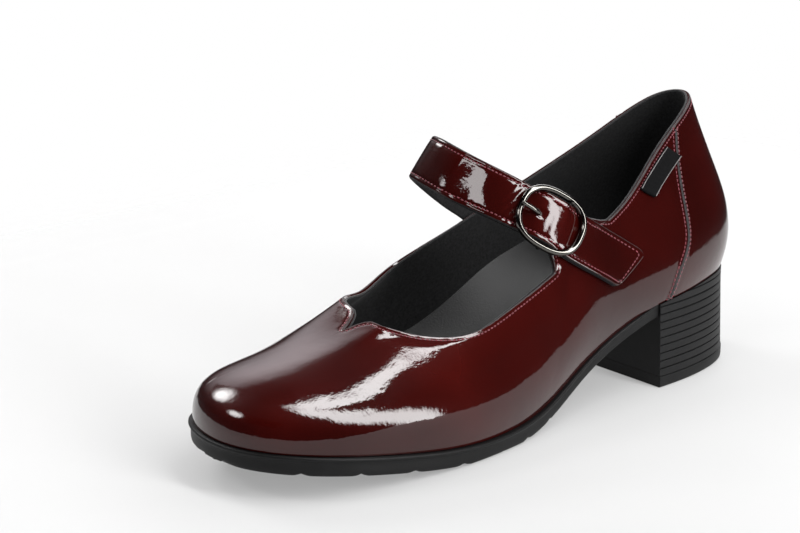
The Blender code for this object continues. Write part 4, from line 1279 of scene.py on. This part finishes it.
def heel_stack_rows():
    """Rows of the heel's sides from the lift up to the feather line, with a groove round each layer."""
    bottom = LIFT_THICKNESS + 0.12
    flare_top = 33.0        # the flare has gone at this height
    highest = 38.2          # just above the feather line at the heel's back
    near_groove = np.array([-0.3, -0.2, -0.1, 0.0, 0.1, 0.2, 0.3])
    grooves = [LIFT_THICKNESS + GROOVE_PITCH * k + near_groove for k in range(1, 11)]
    levels = np.unique(np.concatenate([np.arange(bottom, highest, 0.4)] + grooves))
    rows = []
    for level in levels:
        rise = (level - bottom) / (flare_top - bottom)
        offset = HEEL_FLARE + (0.45 - HEEL_FLARE) * min(rise, 1.0)
        plan = heel_plan(offset)
        sunk = heel_plan(offset - GROOVE_DEPTH)
        nearest = (level - LIFT_THICKNESS) / GROOVE_PITCH
        away = abs(nearest - round(nearest)) * GROOVE_PITCH if round(nearest) > 0 else 9.0
        share = math.exp(-(away / 0.17) ** 2)
        here = plan * (1 - share) + sunk * share
        here[[0, -1]] = plan[[0, -1]] * (1 - 0.6 * share) + sunk[[0, -1]] * 0.6 * share
        here[[0, -1], 0] = HEEL_BREAST_X
        ceiling = LAST_FORM.feather_height(here[:, 0]) - 0.25
        rows.append(np.column_stack([here, np.minimum(level, ceiling)]))
    rows[-1][:, 2] = LAST_FORM.feather_height(rows[-1][:, 0]) - 0.25
    return rows


def heel_solid(name, rows, material, node):
    """A piece made of D-shaped rows one above another, closed by strips at its top and bottom."""
    count = len(rows[0])
    faces = grid_faces(len(rows), count, wrap_columns=True)
    for start in (0, count * (len(rows) - 1)):
        for i in range(count // 2 - 1):
            j = count - 1 - i
            faces.append((start + i, start + i + 1, start + j - 1, start + j))
    piece = make_piece(name, np.concatenate(rows), faces, material, 40.0)
    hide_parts(node)


def make_heel():
    """The stacked heel and its top lift."""
    heel_solid("heel_layers", heel_stack_rows(), STACK, "heel_block")
    rows = []
    for offset, level in LIFT_SIDE:
        plan = heel_plan(offset)
        rows.append(np.column_stack([plan, np.full(len(plan), level)]))
    heel_solid("top_lift", rows, SOLE, "heel_lift")


def make_footbed():
    """The insole, which climbs the wall a little all round and further at the inner waist."""
    sections = np.arange(360) * SECTIONS / 360
    edge = np.array(INSOLE_EDGE, float)
    rise = np.interp(sections, edge[:, 0], edge[:, 1])
    for _ in range(40):
        rise = (np.roll(rise, 1) + 2.0 * rise + np.roll(rise, -1)) / 4.0
    inset = np.full(len(sections), UPPER_WALL + 0.12)
    rings = []
    for share, extra, lift in ((1.0, 0.55, 0.0), (1.0, 0.2, -0.15), (0.96, 0.0, -0.35),
                               (0.7, 0.0, 0.0), (0.4, 0.0, 0.0)):
        height = LAST_FORM.height_share(sections, rise * share)
        ring = LAST_FORM.wall_depth(sections, height, inset + extra)
        ring[:, 2] += lift
        rings.append(ring)
    underside = LAST_FORM.wall_depth(sections, np.zeros(len(sections)), inset + 0.3)
    underside[:, 2] = LAST_FORM.feather_height(underside[:, 0])
    rings.append(underside)

    def top_height(x, beside, nearness):
        level = LAST_FORM.feather_height(x) + INSOLE_THICKNESS
        return level + (beside - level) * nearness

    points, faces = ring_solid(rings, 26, top_height,
                               lambda x, beside, nearness: LAST_FORM.feather_height(x))
    bed = make_piece("footbed", points, faces, FOOTBED, 60.0)
    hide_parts("insole")


# Studio

TOE_CAP = (240.0, 5.0, 28.0)    # its two soft boxes face this point
FLOOR_MIDDLE = 0.098        # metres, where the table's middle lies along the shoe
FLOOR_HALF_SIZE = 0.62
FLOOR_HEIGHT = -0.0002      # just under the sole
FLOOR_CLEAR = (0.27, 0.17)  # half size of its middle part, which doesn't fade
FLOOR_FADE = (0.10, 0.2)    # how far beyond that part it starts and ends to fade


def area_light(name, centre_mm, target_mm, size_mm, radiance):
    """A soft box. radiance is what a mirror would see in it."""
    data = bpy.data.lights.new(name, "AREA")
    data.shape = "RECTANGLE"
    data.size, data.size_y = size_mm[0] * MM, size_mm[1] * MM
    data.energy = radiance * math.pi * data.size * data.size_y
    light = bpy.data.objects.new(name, data)
    bpy.context.scene.collection.objects.link(light)
    centre, target = Vector(place(centre_mm)), Vector(place(target_mm))
    light.location = centre
    light.rotation_mode = "QUATERNION"
    light.rotation_quaternion = (target - centre).to_track_quat("-Z", "Y")
    light.visible_camera = False


def make_floor():
    """A pale table top round the shoe, which fades into the pale backdrop at its edges."""
    step = 0.02
    ticks = np.arange(-FLOOR_HALF_SIZE, FLOOR_HALF_SIZE + step / 2, step)
    across, along = np.meshgrid(ticks, ticks)
    count = len(ticks)
    points = np.stack([across + FLOOR_MIDDLE, along, np.full_like(across, FLOOR_HEIGHT)], -1).reshape(-1, 3)
    mesh = bpy.data.meshes.new("floor")
    mesh.from_pydata(points.tolist(), [], grid_faces(count, count))
    outside = np.linalg.norm(np.stack([np.maximum(np.abs(across) - FLOOR_CLEAR[0], 0.0),
                                       np.maximum(np.abs(along) - FLOOR_CLEAR[1], 0.0)], -1), axis=-1)
    fade = 1.0 - smooth_step(outside, *FLOOR_FADE)
    layer = mesh.attributes.new("fade", "FLOAT", "POINT")
    layer.data.foreach_set("value", fade.ravel())
    floor = bpy.data.objects.new("floor", mesh)
    bpy.context.scene.collection.objects.link(floor)
    material, tree, shader = material_nodes("floor", (0.34, 0.34, 0.34), 0.7)
    shader.inputs["Emission Color"].default_value = (1.0, 1.0, 1.0, 1.0)
    shader.inputs["Emission Strength"].default_value = 0.31
    shader.inputs["Specular IOR Level"].default_value = 0.1
    attribute = tree.nodes.new("ShaderNodeAttribute")
    attribute.attribute_name = "fade"
    tree.links.new(attribute.outputs["Fac"], shader.inputs["Alpha"])
    mesh.materials.append(material)


# The long soft box stands beside the shoe and bends over it: y and z of each station, and x of its sides
LONG_BOX = (
    (900.0, -100.0, -310.0, -130.0),
    (900.0, 250.0, -300.0, -20.0),
    (900.0, 500.0, -250.0, 50.0),
    (900.0, 900.0, -245.0, 70.0),
    (900.0, 1300.0, -290.0, 40.0),
    (900.0, 1500.0, -305.0, 25.0),
    (800.0, 1500.0, -310.0, 20.0),
    (500.0, 1500.0, -285.0, -15.0),
    (200.0, 1500.0, -240.0, -50.0),
    (60.0, 1500.0, -225.0, -40.0),
    (-70.0, 1500.0, -225.0, -40.0),
    (-90.0, 1500.0, -475.0, -40.0),
    (-180.0, 1500.0, -485.0, -40.0),
    (-270.0, 1500.0, -490.0, -45.0),
)


def glow_panel(name, points, fade, radiance, colour=(1.0, 1.0, 1.0)):
    """A soft box made of a grid of points, which the camera doesn't see. fade is its share of light."""
    rows, columns = points.shape[:2]
    mesh = bpy.data.meshes.new(name)
    mesh.from_pydata(place(points.reshape(-1, 3)).tolist(), [], grid_faces(rows, columns))
    layer = mesh.attributes.new("fade", "FLOAT_COLOR", "POINT")
    shade = np.ones((rows * columns, 4))
    shade[:, :3] = fade.reshape(-1, 1) * np.array(colour)
    layer.data.foreach_set("color", shade.ravel())
    panel = bpy.data.objects.new(name, mesh)
    bpy.context.scene.collection.objects.link(panel)
    material = bpy.data.materials.new(name)
    material.use_nodes = True
    tree = material.node_tree
    tree.nodes.remove(tree.nodes["Principled BSDF"])
    light = tree.nodes.new("ShaderNodeEmission")
    light.inputs["Strength"].default_value = radiance
    attribute = tree.nodes.new("ShaderNodeAttribute")
    attribute.attribute_name = "fade"
    tree.links.new(attribute.outputs["Color"], light.inputs["Color"])
    tree.links.new(light.outputs["Emission"], tree.nodes["Material Output"].inputs["Surface"])
    mesh.materials.append(material)
    panel.visible_camera = False


def long_box(radiance):
    """The long soft box, a little dimmer along its two sides."""
    rows = np.array(LONG_BOX)
    knots = np.arange(len(rows))
    fine = np.linspace(0.0, len(rows) - 1.0, 97)
    rows = np.column_stack([np.interp(fine, knots, rows[:, k]) for k in range(4)])
    share = np.array([0.0, 0.06, 0.14, 0.24, 0.5, 0.76, 0.86, 0.94, 1.0])
    x = rows[:, 2:3] + (rows[:, 3:4] - rows[:, 2:3]) * share
    points = np.stack([x, np.repeat(rows[:, :1], len(share), 1), np.repeat(rows[:, 1:2], len(share), 1)], -1)
    side_fade = 0.30 + 0.70 * smooth_step(np.minimum(share, 1.0 - share), 0.0, 0.24)
    end_fade = 0.35 + 0.65 * smooth_step(rows[:, 0], -270.0, -210.0)
    fade = end_fade[:, None] * side_fade
    glow_panel("long_box", points, fade, radiance)


def soft_wall(name, centre_mm, size_mm, radiance):
    """A big pale panel behind the shoe that darkens softly to its edges."""
    share = np.linspace(-1.0, 1.0, 24)
    across, rise = np.meshgrid(share, share)
    points = np.stack([centre_mm[0] + across * size_mm[0] / 2, np.full_like(across, centre_mm[1]),
                       centre_mm[2] + rise * size_mm[1] / 2], -1)
    fade = np.cos(across * np.pi / 2) ** 1.5 * np.cos(rise * np.pi / 2) ** 1.5
    glow_panel(name, points, fade, radiance, (1.0, 0.94, 0.98))


def card(centre, ahead, half_width, half_height, steps):
    """Points of an upright card that faces along ahead, and each one's share across and up it."""
    side = unit(np.cross([0.0, 0.0, 1.0], ahead))
    rise = np.cross(ahead, side)
    share = np.linspace(-1.0, 1.0, steps)
    across, up = np.meshgrid(share, share)
    points = centre + across[..., None] * half_width * side + up[..., None] * half_height * rise
    return points, across, up


def flag(name, near_mm, toward_mm, distance, half_width, half_height):
    """A small black card that keeps one soft box out of one part's reflections."""
    near = np.array(near_mm, float)
    ahead = unit(np.array(toward_mm, float) - near)
    points = card(near + ahead * distance, ahead, half_width, half_height, 2)[0]
    glow_panel(name, points, np.zeros((2, 2)), 0.0)


def direction(azimuth, elevation):
    """The unit vector at an azimuth and elevation in degrees."""
    a, e = math.radians(azimuth), math.radians(elevation)
    return np.array([math.cos(e) * math.cos(a), math.cos(e) * math.sin(a), math.sin(e)])


def toe_box(name, azimuth, elevation, distance, size_mm, radiance):
    """A soft box in a direction from the toe cap, brightest in its middle."""
    way = direction(azimuth, elevation)
    points, across, up = card(TOE_CAP + way * distance, way, size_mm[0] / 2, size_mm[1] / 2, 16)
    fade = smooth_step(1.0 - np.sqrt(across ** 2 + up ** 2), 0.0, 0.75)
    glow_panel(name, points, fade, radiance)


def grey_mix(tree, share, grey):
    """A mix node which gives this grey to the rays whose share is 1."""
    mix = tree.nodes.new("ShaderNodeMix")
    mix.data_type = "RGBA"
    mix.inputs[7].default_value = (grey, grey, grey, 1.0)
    tree.links.new(share, mix.inputs[0])
    return mix


def make_world():
    """White to the camera, a soft fill to matt surfaces and nearly black to mirrors."""
    world = bpy.data.worlds.new("studio")
    bpy.context.scene.world = world
    world.use_nodes = True
    tree = world.node_tree
    path = tree.nodes.new("ShaderNodeLightPath")
    seen = grey_mix(tree, path.outputs["Is Camera Ray"], 1.0)
    seen.inputs[6].default_value = (0.02, 0.02, 0.022, 1.0)
    fill = grey_mix(tree, path.outputs["Is Diffuse Ray"], 0.7)
    tree.links.new(seen.outputs[2], fill.inputs[6])
    tree.links.new(fill.outputs[2], tree.nodes["Background"].inputs["Color"])


def make_studio():
    """The table, the backdrop, the soft boxes and the black cards."""
    make_floor()
    make_world()
    long_box(15.0)
    toe_box("side_box", -88.0, 38.0, 1500.0, (820, 760), 14.0)
    toe_box("front_box", -33.0, 43.0, 1400.0, (640, 620), 15.0)
    area_light("strap_box", (1150, 250, 1190), (75, 0, 88), (560, 250), 8.5)
    flag("toe_flag", (240, 7, 28), (1150, 300, 1190), 150.0, 51.0, 40.0)
    flag("strap_flag", (72, -8, 90), (1099, -556, 983), 150.0, 50.0, 42.0)
    soft_wall("pale_wall", (-710, -1456, 920), (2000, 1500), 1.68)
    area_light("rear_fill", (-1150, -900, 500), (120, 0, 0), (1100, 900), 2.6)


def make_camera():
    """The camera in front of the toe on the outer side, a little above the shoe, with a long lens."""
    azimuth, elevation, distance = 48.7, 17.1, 758.8
    back = Vector(direction(azimuth, elevation))
    right = Vector(direction(azimuth + 90.0, 0.0))
    up = back.cross(right)
    at = Vector((125.0, -2.0, 45.0)) + back * distance - right * 27.0 + up * 10.0
    data = bpy.data.cameras.new("camera")
    camera = bpy.data.objects.new("camera", data)
    bpy.context.scene.collection.objects.link(camera)
    camera.location = place(np.array(at))
    camera.rotation_mode = "QUATERNION"
    roll = Matrix.Rotation(math.radians(0.1), 3, back)
    axes = Matrix((right, up, back)).transposed()
    camera.rotation_quaternion = (roll @ axes).to_quaternion()
    data.sensor_width = 36.0
    data.lens = 90.9
    data.clip_start, data.clip_end = 0.05, 20.0
    bpy.context.scene.camera = camera


upper_leather = make_upper()
make_lining()
make_lining_edge()
make_topline_stitches(upper_leather)
make_seams(upper_leather)
make_tab()
make_strap()
make_buckle_ring()
make_buckle_bar()
make_prong()
make_outsole()
make_heel()
make_footbed()
make_studio()
make_camera()
bpy.context.scene.view_settings.view_transform = "Standard"
bpy.context.scene.view_settings.look = "None"
